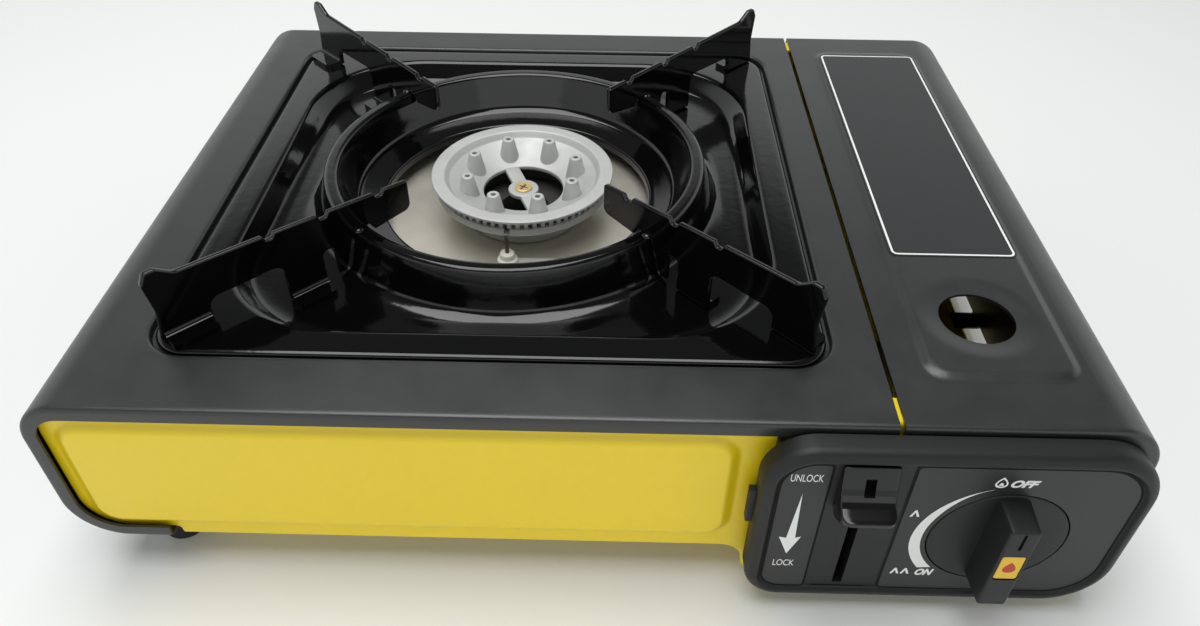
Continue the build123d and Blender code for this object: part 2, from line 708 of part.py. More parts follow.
with BuildPart() as lid:
    extrude(bent_outline(REAR, lid_path, [LID_R], SHEET), amount=DEPTH)
    extrude(bent_outline(FRONT + SHEET, lid_path, [LID_R], LIP), amount=SHEET)
    extrude(bent_outline(REAR, lid_path, [LID_R], LIP), amount=SHEET)
    top_edges = lid.edges().filter_by(Axis.X).group_by(Axis.Z)[-1].sort_by(Axis.Y)
    fillet([top_edges[0], top_edges[-1]], radius=BEND)
    extrude(pad_outline(TOP), amount=LID_PAD_RAISE, taper=EMBOSS_TAPER)
    extrude(
        pad_outline(TOP - SHEET), amount=LID_PAD_RAISE, taper=EMBOSS_TAPER, mode=Mode.SUBTRACT
    )
    pad_top = TOP + LID_PAD_RAISE
    extrude(
        round_outline(Plane.XY.offset(TOP - SHEET), FINGER_X, FINGER_Y, FINGER_DISH_R),
        amount=pad_top,
        mode=Mode.SUBTRACT,
    )
    with BuildSketch(turned_plane(FINGER_X, FINGER_Y)) as dish:
        with BuildLine():
            Polyline(
                (FINGER_DISH_R, pad_top),
                (FINGER_R, pad_top - FINGER_DISH),
                (FINGER_R, pad_top - FINGER_DISH - SHEET),
                (FINGER_DISH_R, pad_top - SHEET),
                close=True,
            )
        make_face()
    revolve(axis=Axis((FINGER_X, FINGER_Y, 0), (0, 0, 1)))
    for ear_y in (FRONT + SHEET, REAR):
        extrude(round_outline(wall_plane(ear_y), HINGE_X, HINGE_Z, HINGE_EAR_R), amount=SHEET)
        extrude(
            round_outline(wall_plane(ear_y), HINGE_X, HINGE_Z, HINGE_PIN_R + HINGE_CLEAR),
            amount=SHEET,
            mode=Mode.SUBTRACT,
        )
    tab_y = (FRONT + REAR) / 2
    tab_right = RIGHT
    extrude(
        box_outline(
            Plane.XY.offset(LID_TAB_Z),
            tab_right - LID_TAB_REACH,
            tab_y - LID_TAB_WIDTH / 2,
            tab_right,
            tab_y + LID_TAB_WIDTH / 2,
        ),
        amount=SHEET,
    )
    extrude(
        box_outline(
            Plane.XY.offset(LID_TAB_Z),
            tab_right - SHEET,
            tab_y - LID_TAB_WIDTH / 2,
            tab_right,
            tab_y + LID_TAB_WIDTH / 2,
        ),
        amount=HINGE_Z - LID_TAB_Z,
    )
save(lid, "lid")

# Hinge pins of the lid, riveted in the chassis lugs
with BuildPart() as lid_hinge_pins:
    for tip, head in ((FRONT, BODY_FRONT_IN), (REAR, BODY_REAR - BODY_SHEET)):
        inwards = 1 if head > tip else -1
        extrude(
            round_outline(wall_plane(tip), HINGE_X, HINGE_Z, HINGE_PIN_R), amount=tip - head
        )
        extrude(
            round_outline(wall_plane(head), HINGE_X, HINGE_Z, PIN_HEAD_R), amount=-inwards * PIN_HEAD
        )
save(lid_hinge_pins, "lid_hinge_pins")

# Partition between burner side and cartridge bay
BAY_FLOOR = FLOOR_RIGHT + BODY_SHEET
IGNITER_FRONT = BODY_FRONT_IN + VALVE_FLANGE
IGNITER_REAR = IGNITER_FRONT + IGNITER_LENGTH
WIRE_LANE = IGNITER_REAR + 2 * WIRE_TURN_R
PARTITION_REAR = BODY_REAR - BODY_SHEET
with BuildPart() as partition:
    extrude(
        box_outline(
            Plane.XY.offset(BAY_FLOOR),
            PARTITION_X,
            PARTITION_FRONT,
            PARTITION_X + PARTITION_SHEET,
            PARTITION_REAR,
        ),
        amount=BODY_TOP - PARTITION_TOP_GAP - BAY_FLOOR,
    )
    extrude(
        box_outline(
            Plane.XY.offset(BAY_FLOOR),
            PARTITION_X - PARTITION_FOOT,
            PARTITION_FRONT,
            PARTITION_X,
            PARTITION_REAR,
        ),
        amount=PARTITION_SHEET,
    )
    hole_plane = Plane.YZ.offset(PARTITION_X)
    extrude(
        round_outline(hole_plane, GAS_Y, GAS_Z, TUBE_R + SHAFT_HOLE_GAP),
        amount=PARTITION_SHEET,
        mode=Mode.SUBTRACT,
    )
    extrude(
        round_outline(
            hole_plane, WIRE_LANE, IGNITER_Z, WIRE_R + SHAFT_HOLE_GAP
        ),
        amount=PARTITION_SHEET,
        mode=Mode.SUBTRACT,
    )
save(partition, "partition")

# Forked clamp that draws the cartridge collar on to the valve
with BuildPart() as canister_clamp:
    clamp_floor = BAY_FLOOR + CLAMP_CLEAR
    extrude(
        box_outline(
            wall_plane(CLAMP_Y), KNOB_X - CLAMP_HALF, clamp_floor, KNOB_X + CLAMP_HALF, CLAMP_TOP
        ),
        amount=CLAMP_SHEET,
    )
    extrude(
        box_outline(
            wall_plane(CLAMP_Y), KNOB_X - CLAMP_NECK_R, KNOB_Z, KNOB_X + CLAMP_NECK_R, CLAMP_TOP
        ),
        amount=CLAMP_SHEET,
        mode=Mode.SUBTRACT,
    )
    extrude(
        round_outline(wall_plane(CLAMP_Y), KNOB_X, KNOB_Z, CLAMP_NECK_R),
        amount=CLAMP_SHEET,
        mode=Mode.SUBTRACT,
    )
    extrude(
        box_outline(
            Plane.XY.offset(clamp_floor),
            KNOB_X - CLAMP_HALF,
            CLAMP_Y - CLAMP_FOOT,
            KNOB_X + CLAMP_HALF,
            CLAMP_Y,
        ),
        amount=CLAMP_SHEET,
    )
save(canister_clamp, "canister_clamp")


# Control panel, a moulded bezel with a recessed face
PANEL_BACK = FRONT - PANEL_GAP
PANEL_FRONT = FRONT - PANEL_RIM
FACE_Y = FRONT - PANEL_FACE
FACE_BACK = FACE_Y + PANEL_WALL


def panel_outline(y, inset):
    """Outline of the bezel at depth y, moved inwards."""
    left = PANEL_LEFT + inset
    right = PANEL_RIGHT - inset
    low = PANEL_LOW + inset
    high = PANEL_TOP - inset
    with BuildSketch(wall_plane(y)) as outline:
        with BuildLine():
            FilletPolyline(
                (right, low),
                (right, high),
                (left, high),
                (left, low),
                radius=[
                    PANEL_CORNERS["low_right"] - inset,
                    PANEL_CORNERS["top_right"] - inset,
                    PANEL_CORNERS["top_left"] - inset,
                    PANEL_CORNERS["low_left"] - inset,
                ],
                close=True,
            )
        make_face()
    return outline.sketch


with BuildPart() as control_panel:
    extrude(panel_outline(PANEL_BACK, 0), amount=PANEL_BACK - PANEL_FRONT)
    fillet(control_panel.faces().sort_by(Axis.Y)[0].edges(), radius=PANEL_EDGE_R)
    extrude(panel_outline(FACE_Y, PANEL_RIM_WIDTH), amount=PANEL_RIM, mode=Mode.SUBTRACT)
    extrude(panel_outline(PANEL_BACK, PANEL_WALL), amount=PANEL_BACK - FACE_BACK, mode=Mode.SUBTRACT)
    extrude(
        box_outline(wall_plane(BODY_FRONT), SKIRT_LEFT, SKIRT_LOW, SKIRT_RIGHT, SKIRT_TOP),
        amount=BODY_FRONT - FACE_BACK,
    )
    extrude(
        box_outline(
            wall_plane(BODY_FRONT),
            SKIRT_LEFT + PANEL_WALL,
            SKIRT_LOW + PANEL_WALL,
            SKIRT_RIGHT - PANEL_WALL,
            SKIRT_TOP - PANEL_WALL,
        ),
        amount=BODY_FRONT - FACE_BACK,
        mode=Mode.SUBTRACT,
    )
    for spot in BOSS_SPOTS:
        extrude(round_outline(wall_plane(BODY_FRONT), *spot, BOSS_R), amount=BODY_FRONT - FACE_BACK)
        extrude(
            round_outline(wall_plane(BODY_FRONT), *spot, SCREW_R + SCREW_CLEAR),
            amount=BODY_FRONT - FACE_BACK,
            mode=Mode.SUBTRACT,
        )
    extrude(
        round_outline(wall_plane(FACE_BACK), KNOB_X, KNOB_Z, DIAL_R + DIAL_GAP),
        amount=PANEL_WALL,
        mode=Mode.SUBTRACT,
    )
    extrude(
        box_outline(
            wall_plane(FACE_BACK), LEVER_X - SLOT_HALF, SLOT_LOW, LEVER_X + SLOT_HALF, SLOT_TOP
        ),
        amount=PANEL_WALL,
        mode=Mode.SUBTRACT,
    )
    extrude(
        box_outline(
            wall_plane(PANEL_BACK),
            PANEL_LEFT - PANEL_TAB[2],
            PANEL_TAB_Z - PANEL_TAB[1] / 2,
            PANEL_LEFT + PANEL_WALL,
            PANEL_TAB_Z + PANEL_TAB[1] / 2,
        ),
        amount=PANEL_TAB[0],
    )
save(control_panel, "control_panel")


LABEL_INSET = PANEL_RIM_WIDTH + LABEL_MARGIN
LABEL_LOW = PANEL_LOW + LABEL_INSET
LABEL_TOP = PANEL_TOP - LABEL_INSET


def label_outline(left, right, left_r, right_r):
    """Outline of a printed label on the panel's recessed face."""
    with BuildSketch(wall_plane(FACE_Y)) as outline:
        with BuildLine():
            FilletPolyline(
                (right, LABEL_LOW),
                (right, LABEL_TOP),
                (left, LABEL_TOP),
                (left, LABEL_LOW),
                radius=[right_r, right_r, left_r, left_r],
                close=True,
            )
        make_face()
    return outline.sketch


# Printed labels beside the lever, round the knob and on the lid
with BuildPart() as lock_label:
    extrude(
        label_outline(
            PANEL_LEFT + LABEL_INSET, LOCK_LABEL_RIGHT, PANEL_CORNERS["top_left"] - LABEL_INSET, LABEL_R
        ),
        amount=LABEL_SHEET,
    )
save(lock_label, "lock_label")

with BuildPart() as knob_label:
    extrude(
        label_outline(
            KNOB_LABEL_LEFT,
            PANEL_RIGHT - LABEL_INSET,
            LABEL_R,
            PANEL_CORNERS["top_right"] - LABEL_INSET,
        ),
        amount=LABEL_SHEET,
    )
    extrude(
        round_outline(wall_plane(FACE_Y), KNOB_X, KNOB_Z, DIAL_R + DIAL_GAP),
        amount=LABEL_SHEET,
        mode=Mode.SUBTRACT,
    )
save(knob_label, "knob_label")

with BuildPart() as lid_label:
    with BuildSketch(Plane.XY.offset(TOP + LID_PAD_RAISE)) as lid_label_outline:
        with Locations((LID_PAD_X, (LID_LABEL_FRONT + LID_LABEL_REAR) / 2)):
            RectangleRounded(LID_LABEL_WIDTH, LID_LABEL_REAR - LID_LABEL_FRONT, LABEL_R)
    extrude(amount=LID_LABEL_SHEET)
save(lid_label, "lid_label")

# Screws from inside the chassis into the bosses of the panel
with BuildPart() as panel_screws:
    for spot in BOSS_SPOTS:
        extrude(
            round_outline(wall_plane(BODY_FRONT_IN), *spot, SCREW_R),
            amount=BODY_FRONT_IN - FACE_BACK - BODY_SHEET,
        )
        extrude(round_outline(wall_plane(BODY_FRONT_IN), *spot, SCREW_HEAD_R), amount=-SCREW_HEAD)
save(panel_screws, "panel_screws")

# Knob, a flush dial with a bar grip
DIAL_FRONT = FACE_Y - DIAL_PROUD
DIAL_BACK = DIAL_FRONT + DIAL_SHEET
GRIP_FRONT = FRONT - KNOB_REACH
INSERT_Z = KNOB_Z + INSERT_RISE
SHAFT_FRONT = DIAL_FRONT + HUB_GAP
VALVE_FRONT = BODY_FRONT_IN
with BuildPart() as knob:
    extrude(round_outline(wall_plane(DIAL_BACK), KNOB_X, KNOB_Z, DIAL_R), amount=DIAL_SHEET)
    with BuildSketch(wall_plane(DIAL_FRONT)) as grip:
        with Locations((KNOB_X, KNOB_Z)):
            Rectangle(GRIP_WIDTH, GRIP_LENGTH)
    extrude(amount=DIAL_FRONT - GRIP_FRONT, taper=GRIP_TAPER)
    fillet(knob.faces().sort_by(Axis.Y)[0].edges(), radius=GRIP_EDGE_R)
    extrude(
        box_outline(
            wall_plane(GRIP_FRONT + INSERT_SHEET),
            KNOB_X - INSERT_WIDTH / 2,
            INSERT_Z - INSERT_HEIGHT / 2,
            KNOB_X + INSERT_WIDTH / 2,
            INSERT_Z + INSERT_HEIGHT / 2,
        ),
        amount=INSERT_SHEET,
        mode=Mode.SUBTRACT,
    )
    extrude(
        box_outline(
            wall_plane(GRIP_FRONT + INSERT_SHEET),
            KNOB_X - POINTER_WIDTH / 2,
            KNOB_Z + GRIP_LENGTH / 2 - POINTER_LENGTH,
            KNOB_X + POINTER_WIDTH / 2,
            KNOB_Z + GRIP_LENGTH / 2,
        ),
        amount=INSERT_SHEET,
        mode=Mode.SUBTRACT,
    )
    extrude(
        round_outline(wall_plane(BODY_FRONT - HUB_GAP), KNOB_X, KNOB_Z, HUB_R),
        amount=BODY_FRONT - HUB_GAP - DIAL_BACK,
    )
    extrude(
        round_outline(wall_plane(BODY_FRONT), KNOB_X, KNOB_Z, SHAFT_R + SHAFT_FIT),
        amount=BODY_FRONT - SHAFT_FRONT,
        mode=Mode.SUBTRACT,
    )
save(knob, "knob")

with BuildPart() as knob_insert:
    extrude(
        box_outline(
            wall_plane(GRIP_FRONT + INSERT_SHEET),
            KNOB_X - INSERT_WIDTH / 2,
            INSERT_Z - INSERT_HEIGHT / 2,
            KNOB_X + INSERT_WIDTH / 2,
            INSERT_Z + INSERT_HEIGHT / 2,
        ),
        amount=INSERT_SHEET,
    )
save(knob_insert, "knob_insert")

with BuildPart() as knob_shaft:
    extrude(
        round_outline(wall_plane(VALVE_FRONT + VALVE_BORE - HUB_GAP), KNOB_X, KNOB_Z, SHAFT_R),
        amount=VALVE_FRONT + VALVE_BORE - HUB_GAP - SHAFT_FRONT,
    )
save(knob_shaft, "knob_shaft")

# Gas valve and pressure regulator behind the chassis wall
VALVE_REAR = VALVE_FRONT + VALVE_LENGTH
NECK_REAR = VALVE_REAR + VALVE_NECK
with BuildPart() as gas_valve:
    extrude(
        box_outline(
            wall_plane(VALVE_FRONT + VALVE_FLANGE),
            KNOB_X - VALVE_FLANGE_HALF_X,
            KNOB_Z - VALVE_FLANGE_HALF_Z,
            KNOB_X + VALVE_FLANGE_HALF_X,
            KNOB_Z + VALVE_FLANGE_HALF_Z,
        ),
        amount=VALVE_FLANGE,
    )
    extrude(round_outline(wall_plane(VALVE_REAR), KNOB_X, KNOB_Z, VALVE_R), amount=VALVE_LENGTH)
    extrude(round_outline(wall_plane(NECK_REAR), KNOB_X, KNOB_Z, VALVE_NECK_R), amount=VALVE_NECK)
    extrude(
        round_outline(Plane.YZ.offset(OUTLET_X), GAS_Y, GAS_Z, OUTLET_R), amount=KNOB_X - OUTLET_X
    )
    extrude(
        round_outline(wall_plane(VALVE_FRONT + VALVE_BORE), KNOB_X, KNOB_Z, SHAFT_R + SHAFT_FIT),
        amount=VALVE_BORE,
        mode=Mode.SUBTRACT,
    )
    extrude(
        round_outline(wall_plane(NECK_REAR), KNOB_X, KNOB_Z, INLET_R),
        amount=VALVE_NECK,
        mode=Mode.SUBTRACT,
    )
    for spot in VALVE_SCREWS:
        extrude(
            round_outline(wall_plane(VALVE_FRONT + VALVE_FLANGE), *spot, SCREW_R + SCREW_CLEAR),
            amount=VALVE_FLANGE,
            mode=Mode.SUBTRACT,
        )
save(gas_valve, "gas_valve")

with BuildPart() as valve_screws:
    for spot in VALVE_SCREWS:
        extrude(
            round_outline(wall_plane(VALVE_FRONT + VALVE_FLANGE), *spot, SCREW_R),
            amount=VALVE_FLANGE + BODY_SHEET,
        )
        extrude(
            round_outline(wall_plane(VALVE_FRONT + VALVE_FLANGE), *spot, SCREW_HEAD_R),
            amount=-SCREW_HEAD,
        )
save(valve_screws, "valve_screws")

with BuildPart() as inlet_seal:
    extrude(
        round_outline(wall_plane(NECK_REAR + SEAL_SHEET), KNOB_X, KNOB_Z, SEAL_R), amount=SEAL_SHEET
    )
    extrude(
        round_outline(wall_plane(NECK_REAR + SEAL_SHEET), KNOB_X, KNOB_Z, INLET_R),
        amount=SEAL_SHEET,
        mode=Mode.SUBTRACT,
    )
save(inlet_seal, "inlet_seal")

with BuildPart() as gas_nozzle:
    with BuildSketch(Plane.YZ.offset(OUTLET_X)) as nozzle_root:
        with Locations((GAS_Y, GAS_Z)):
            Circle(NOZZLE_R)
    with BuildSketch(Plane.YZ.offset(OUTLET_X - NOZZLE_LENGTH)) as nozzle_tip:
        with Locations((GAS_Y, GAS_Z)):
            Circle(NOZZLE_TIP_R)
    loft()
    extrude(
        round_outline(Plane.YZ.offset(OUTLET_X - NOZZLE_LENGTH), GAS_Y, GAS_Z, NOZZLE_HOLE_R),
        amount=NOZZLE_LENGTH,
        mode=Mode.SUBTRACT,
    )
save(gas_nozzle, "gas_nozzle")

# Lock lever with its slide plate and guide
LEVER_BACK = FACE_Y - LEVER_GAP
STEM_LOW = LEVER_REST_Z - STEM_HEIGHT / 2
STEM_TOP = LEVER_REST_Z + STEM_HEIGHT / 2
GUIDE_FRONT = BODY_FRONT_IN
SLIDE_FRONT = GUIDE_FRONT + GUIDE_GAP
SLIDE_BACK = SLIDE_FRONT + SLIDE_SHEET
LIP_Y = LEVER_BACK - LEVER_REACH
RIDGE_Y = LEVER_BACK - LEVER_RIDGE
with BuildPart() as lock_lever:
    with BuildSketch(Plane.YZ.offset(LEVER_X - LEVER_WIDTH / 2)) as lever_side:
        with BuildLine():
            SagittaArc((RIDGE_Y, LEVER_RIDGE_Z), (LIP_Y, LEVER_LIP_Z), LEVER_SAG)
            Polyline(
                (LIP_Y, LEVER_LIP_Z),
                (LIP_Y, LEVER_LIP_Z - LEVER_LIP),
                (RIDGE_Y, LEVER_LOW),
                (LEVER_BACK, LEVER_LOW),
                (LEVER_BACK, LEVER_TOP),
                (LEVER_BACK - LEVER_TOP_SHEET, LEVER_TOP),
                (RIDGE_Y, LEVER_RIDGE_Z),
            )
        make_face()
    extrude(amount=LEVER_WIDTH)
    extrude(
        box_outline(
            wall_plane(LEVER_BACK - LEVER_TOP_SHEET),
            LEVER_X - LEVER_NOTCH_WIDTH / 2,
            LEVER_RIDGE_Z - LEVER_NOTCH_HALF,
            LEVER_X + LEVER_NOTCH_WIDTH / 2,
            LEVER_RIDGE_Z + LEVER_NOTCH_HALF,
        ),
        amount=LEVER_REACH,
        mode=Mode.SUBTRACT,
    )
    extrude(
        box_outline(
            wall_plane(SLIDE_FRONT), LEVER_X - STEM_WIDTH / 2, STEM_LOW, LEVER_X + STEM_WIDTH / 2, STEM_TOP
        ),
        amount=SLIDE_FRONT - LEVER_BACK,
    )
save(lock_lever, "lock_lever")

with BuildPart() as lever_slide:
    extrude(
        box_outline(
            wall_plane(SLIDE_BACK),
            LEVER_X - SLIDE_HALF,
            LEVER_REST_Z - SLIDE_HEIGHT / 2,
            LEVER_X + SLIDE_HALF,
            LEVER_REST_Z + SLIDE_HEIGHT / 2,
        ),
        amount=SLIDE_SHEET,
    )
save(lever_slide, "lever_slide")

GUIDE_IN = SLIDE_HALF + GUIDE_GAP
GUIDE_LOW = LEVER_LOW_Z - SLIDE_HEIGHT / 2
GUIDE_TOP = LEVER_REST_Z + SLIDE_HEIGHT / 2
with BuildPart() as slide_guide:
    extrude(
        box_outline(
            wall_plane(SLIDE_BACK + GUIDE_GAP + GUIDE_SHEET),
            LEVER_X - GUIDE_IN - GUIDE_SHEET,
            GUIDE_LOW - GUIDE_FLANGE,
            LEVER_X + GUIDE_IN + GUIDE_SHEET,
            GUIDE_LOW - GUIDE_GAP,
        ),
        amount=SLIDE_BACK + GUIDE_GAP + GUIDE_SHEET - GUIDE_FRONT,
    )
    for side in (-1, 1):
        rail = sorted((LEVER_X + side * GUIDE_IN, LEVER_X + side * (GUIDE_IN + GUIDE_SHEET)))
        keeper = sorted((LEVER_X + side * (GUIDE_IN + GUIDE_SHEET), LEVER_X + side * GUIDE_FLANGE))
        extrude(
            box_outline(
                wall_plane(SLIDE_BACK + GUIDE_GAP), rail[0], GUIDE_LOW - GUIDE_GAP, rail[1], GUIDE_TOP
            ),
            amount=SLIDE_BACK + GUIDE_GAP - GUIDE_FRONT,
        )
        extrude(
            box_outline(
                wall_plane(SLIDE_BACK + GUIDE_GAP + GUIDE_SHEET),
                keeper[0],
                GUIDE_LOW - GUIDE_GAP,
                keeper[1],
                GUIDE_TOP,
            ),
            amount=GUIDE_SHEET,
        )
save(slide_guide, "slide_guide")

# Burner base with its neck and the socket of the mixing tube
SOCKET_X = TUBE_BEND_X - BURNER_X
SOCKET_Y = GAS_Y - BURNER_Y
SOCKET_RUN = sqrt(SOCKET_X ** 2 + SOCKET_Y ** 2)
SOCKET_DIR = (SOCKET_X / SOCKET_RUN, SOCKET_Y / SOCKET_RUN)
SOCKET_R = TUBE_R + SOCKET_WALL


def tube_plane(reach):
    """Plane across the tube's line, this far from the burner axis and facing away from it."""
    return Plane(
        origin=(BURNER_X + reach * SOCKET_DIR[0], BURNER_Y + reach * SOCKET_DIR[1], GAS_Z),
        z_dir=(SOCKET_DIR[0], SOCKET_DIR[1], 0),
    )


CUP_FLOOR = REFLECTOR_Z + BASE_WALL
RIM_LOW = BASE_TOP - BASE_RIM
NECK_IN_R = NECK_R - BASE_WALL
with BuildPart() as burner_base:
    with BuildSketch(turned_plane(BURNER_X, BURNER_Y)) as base_profile:
        with BuildLine():
            Polyline(
                (0, NECK_LOW),
                (NECK_R, NECK_LOW),
                (NECK_R, REFLECTOR_Z),
                (BASE_R, REFLECTOR_Z),
                (BASE_R, RIM_LOW - BASE_SLOPE),
                (BASE_RIM_R, RIM_LOW),
                (BASE_RIM_R, BASE_TOP),
                (BASE_RIM_R - BASE_WALL, BASE_TOP),
                (BASE_RIM_R - BASE_WALL, RIM_LOW + BASE_WALL),
                (BASE_R - BASE_WALL, RIM_LOW - BASE_SLOPE + BASE_WALL),
                (BASE_R - BASE_WALL, CUP_FLOOR),
                (NECK_IN_R, CUP_FLOOR),
                (NECK_IN_R, NECK_LOW + BASE_WALL),
                (0, NECK_LOW + BASE_WALL),
                close=True,
            )
        make_face()
    revolve(axis=Axis((BURNER_X, BURNER_Y, 0), (0, 0, 1)))
    extrude(round_outline(tube_plane(NECK_R - BASE_WALL / 2), 0, 0, SOCKET_R), amount=SOCKET_REACH - NECK_R)
    extrude(
        round_outline(tube_plane(SOCKET_REACH - SOCKET_DEPTH), 0, 0, TUBE_R + TUBE_FIT),
        amount=SOCKET_DEPTH,
        mode=Mode.SUBTRACT,
    )
    extrude(
        round_outline(tube_plane(0), 0, 0, TUBE_R - TUBE_WALL),
        amount=SOCKET_REACH,
        mode=Mode.SUBTRACT,
    )
    extrude(
        box_outline(
            Plane.XY.offset(BASE_TOP - NOTCH),
            ELECTRODE_X - NOTCH_HALF,
            BURNER_Y - HEAD_R,
            ELECTRODE_X + NOTCH_HALF,
            BURNER_Y - SKIRT_IN_R,
        ),
        amount=NOTCH,
        mode=Mode.SUBTRACT,
    )
    web_low = REFLECTOR_Z - BASE_WALL
    with Locations((BURNER_X, BURNER_Y, web_low)):
        with Locations(Rotation(0, 0, SPOKE_ANGLE)):
            Box(
                2 * NECK_R - BASE_WALL,
                SPOKE_WIDTH,
                BASE_WALL,
                align=(Align.CENTER, Align.CENTER, Align.MIN),
            )
        Cylinder(
            HUB_DISC_R,
            DISH_FLOOR - DISH_WALL - web_low,
            align=(Align.CENTER, Align.CENTER, Align.MIN),
        )
        Cylinder(
            SCREW_R + SCREW_CLEAR,
            DISH_FLOOR - web_low,
            align=(Align.CENTER, Align.CENTER, Align.MIN),
            mode=Mode.SUBTRACT,
        )
save(burner_base, "burner_base")

# Burner head with flame slots, posts and a hub on spokes
DISH_RISE = (DISH_EDGE_Z - DISH_FLOOR) / (DISH_R - CENTRE_R)
POST_LOW = DISH_FLOOR + DISH_RISE * (POST_RING_R - POST_BASE_R - CENTRE_R)
with BuildPart() as burner_head:
    with BuildSketch(turned_plane(BURNER_X, BURNER_Y)) as head_profile:
        with BuildLine():
            Polyline(
                (CENTRE_R, DISH_FLOOR),
                (DISH_R, DISH_EDGE_Z),
                (HEAD_RIM_IN_R, HEAD_TOP),
                (HEAD_R, HEAD_TOP),
                (HEAD_R, HEAD_TOP - HEAD_RIM),
                (SKIRT_R, HEAD_TOP - HEAD_RIM),
                (SKIRT_R, BASE_TOP),
                (SKIRT_IN_R, BASE_TOP),
                (SKIRT_IN_R, HEAD_TOP - HEAD_RIM - DISH_WALL),
                (DISH_R, DISH_EDGE_Z - DISH_WALL),
                (CENTRE_R, DISH_FLOOR - DISH_WALL),
                close=True,
            )
        make_face()
    revolve(axis=Axis((BURNER_X, BURNER_Y, 0), (0, 0, 1)))
    with Locations((BURNER_X, BURNER_Y, POST_LOW)):
        with PolarLocations(POST_RING_R, POSTS, start_angle=POST_ANGLE):
            Cone(POST_BASE_R, POST_TOP_R, POST_TOP - POST_LOW, align=(Align.CENTER, Align.CENTER, Align.MIN))
    with Locations((BURNER_X, BURNER_Y, POST_TOP - POST_HOLE)):
        with PolarLocations(POST_RING_R, POSTS, start_angle=POST_ANGLE):
            Cylinder(
                POST_HOLE_R,
                POST_HOLE,
                align=(Align.CENTER, Align.CENTER, Align.MIN),
                mode=Mode.SUBTRACT,
            )
    with Locations((BURNER_X, BURNER_Y, DISH_FLOOR)):
        with Locations(Rotation(0, 0, SPOKE_ANGLE)):
            Box(
                2 * CENTRE_R + DISH_WALL,
                SPOKE_WIDTH,
                DISH_WALL,
                align=(Align.CENTER, Align.CENTER, Align.MAX),
            )
        Cylinder(HUB_DISC_R, DISH_WALL, align=(Align.CENTER, Align.CENTER, Align.MAX))
        Cylinder(
            SCREW_R + SCREW_CLEAR,
            DISH_WALL,
            align=(Align.CENTER, Align.CENTER, Align.MAX),
            mode=Mode.SUBTRACT,
        )
    with Locations((BURNER_X, BURNER_Y, BASE_TOP)):
        with PolarLocations((SKIRT_R + SKIRT_IN_R) / 2, FLAME_SLOTS):
            Box(
                1.5 * (SKIRT_R - SKIRT_IN_R),
                FLAME_WIDTH,
                FLAME_HEIGHT,
                align=(Align.CENTER, Align.CENTER, Align.MIN),
                mode=Mode.SUBTRACT,
            )
save(burner_head, "burner_head")

with BuildPart() as burner_screw:
    with Locations((BURNER_X, BURNER_Y, DISH_FLOOR)):
        Cylinder(CENTRE_SCREW_R, CENTRE_SCREW_HEAD, align=(Align.CENTER, Align.CENTER, Align.MIN))
        Cylinder(
            SCREW_R,
            DISH_FLOOR - REFLECTOR_Z,
            align=(Align.CENTER, Align.CENTER, Align.MAX),
        )
save(burner_screw, "burner_screw")

# Bright steel reflector plate under the burner
with BuildPart() as reflector_plate:
    with Locations((BURNER_X, BURNER_Y, REFLECTOR_Z)):
        Cylinder(REFLECTOR_R, REFLECTOR_SHEET, align=(Align.CENTER, Align.CENTER, Align.MAX))
        Cylinder(
            NECK_R + NECK_GAP,
            REFLECTOR_SHEET,
            align=(Align.CENTER, Align.CENTER, Align.MAX),
            mode=Mode.SUBTRACT,
        )
    with Locations((ELECTRODE_X, ELECTRODE_Y, REFLECTOR_Z)):
        Cylinder(
            CERAMIC_R + SCREW_CLEAR,
            REFLECTOR_SHEET,
            align=(Align.CENTER, Align.CENTER, Align.MAX),
            mode=Mode.SUBTRACT,
        )
save(reflector_plate, "reflector_plate")

# Bridge bracket that carries reflector and burner
BRIDGE_TOP = REFLECTOR_Z - REFLECTOR_SHEET
LEFT_FLOOR = FLOOR_LEFT + BODY_SHEET
with BuildPart() as burner_bracket:
    half = BRACKET_HALF_X
    foot = BRACKET_HALF_X + BRACKET_FOOT
    bridge = [
        (-foot, LEFT_FLOOR),
        (-half + BRACKET_SHEET, LEFT_FLOOR),
        (-half + BRACKET_SHEET, BRIDGE_TOP - BRACKET_SHEET),
        (half - BRACKET_SHEET, BRIDGE_TOP - BRACKET_SHEET),
        (half - BRACKET_SHEET, LEFT_FLOOR),
        (foot, LEFT_FLOOR),
        (foot, LEFT_FLOOR + BRACKET_SHEET),
        (half, LEFT_FLOOR + BRACKET_SHEET),
        (half, BRIDGE_TOP),
        (-half, BRIDGE_TOP),
        (-half, LEFT_FLOOR + BRACKET_SHEET),
        (-foot, LEFT_FLOOR + BRACKET_SHEET),
    ]
    extrude(
        polygon_outline(turned_plane(BURNER_X, BURNER_Y + BRACKET_HALF_Y), bridge),
        amount=2 * BRACKET_HALF_Y,
    )
    extrude(
        round_outline(Plane.XY.offset(BRIDGE_TOP - BRACKET_SHEET), BURNER_X, BURNER_Y, NECK_R + NECK_GAP),
        amount=BRACKET_SHEET,
        mode=Mode.SUBTRACT,
    )
    for side in (-1, 1):
        extrude(
            round_outline(
                Plane.XY.offset(LEFT_FLOOR),
                BURNER_X + side * (half + BRACKET_FOOT / 2),
                BURNER_Y,
                SCREW_R + SCREW_CLEAR,
            ),
            amount=BRACKET_SHEET,
            mode=Mode.SUBTRACT,
        )
save(burner_bracket, "burner_bracket")

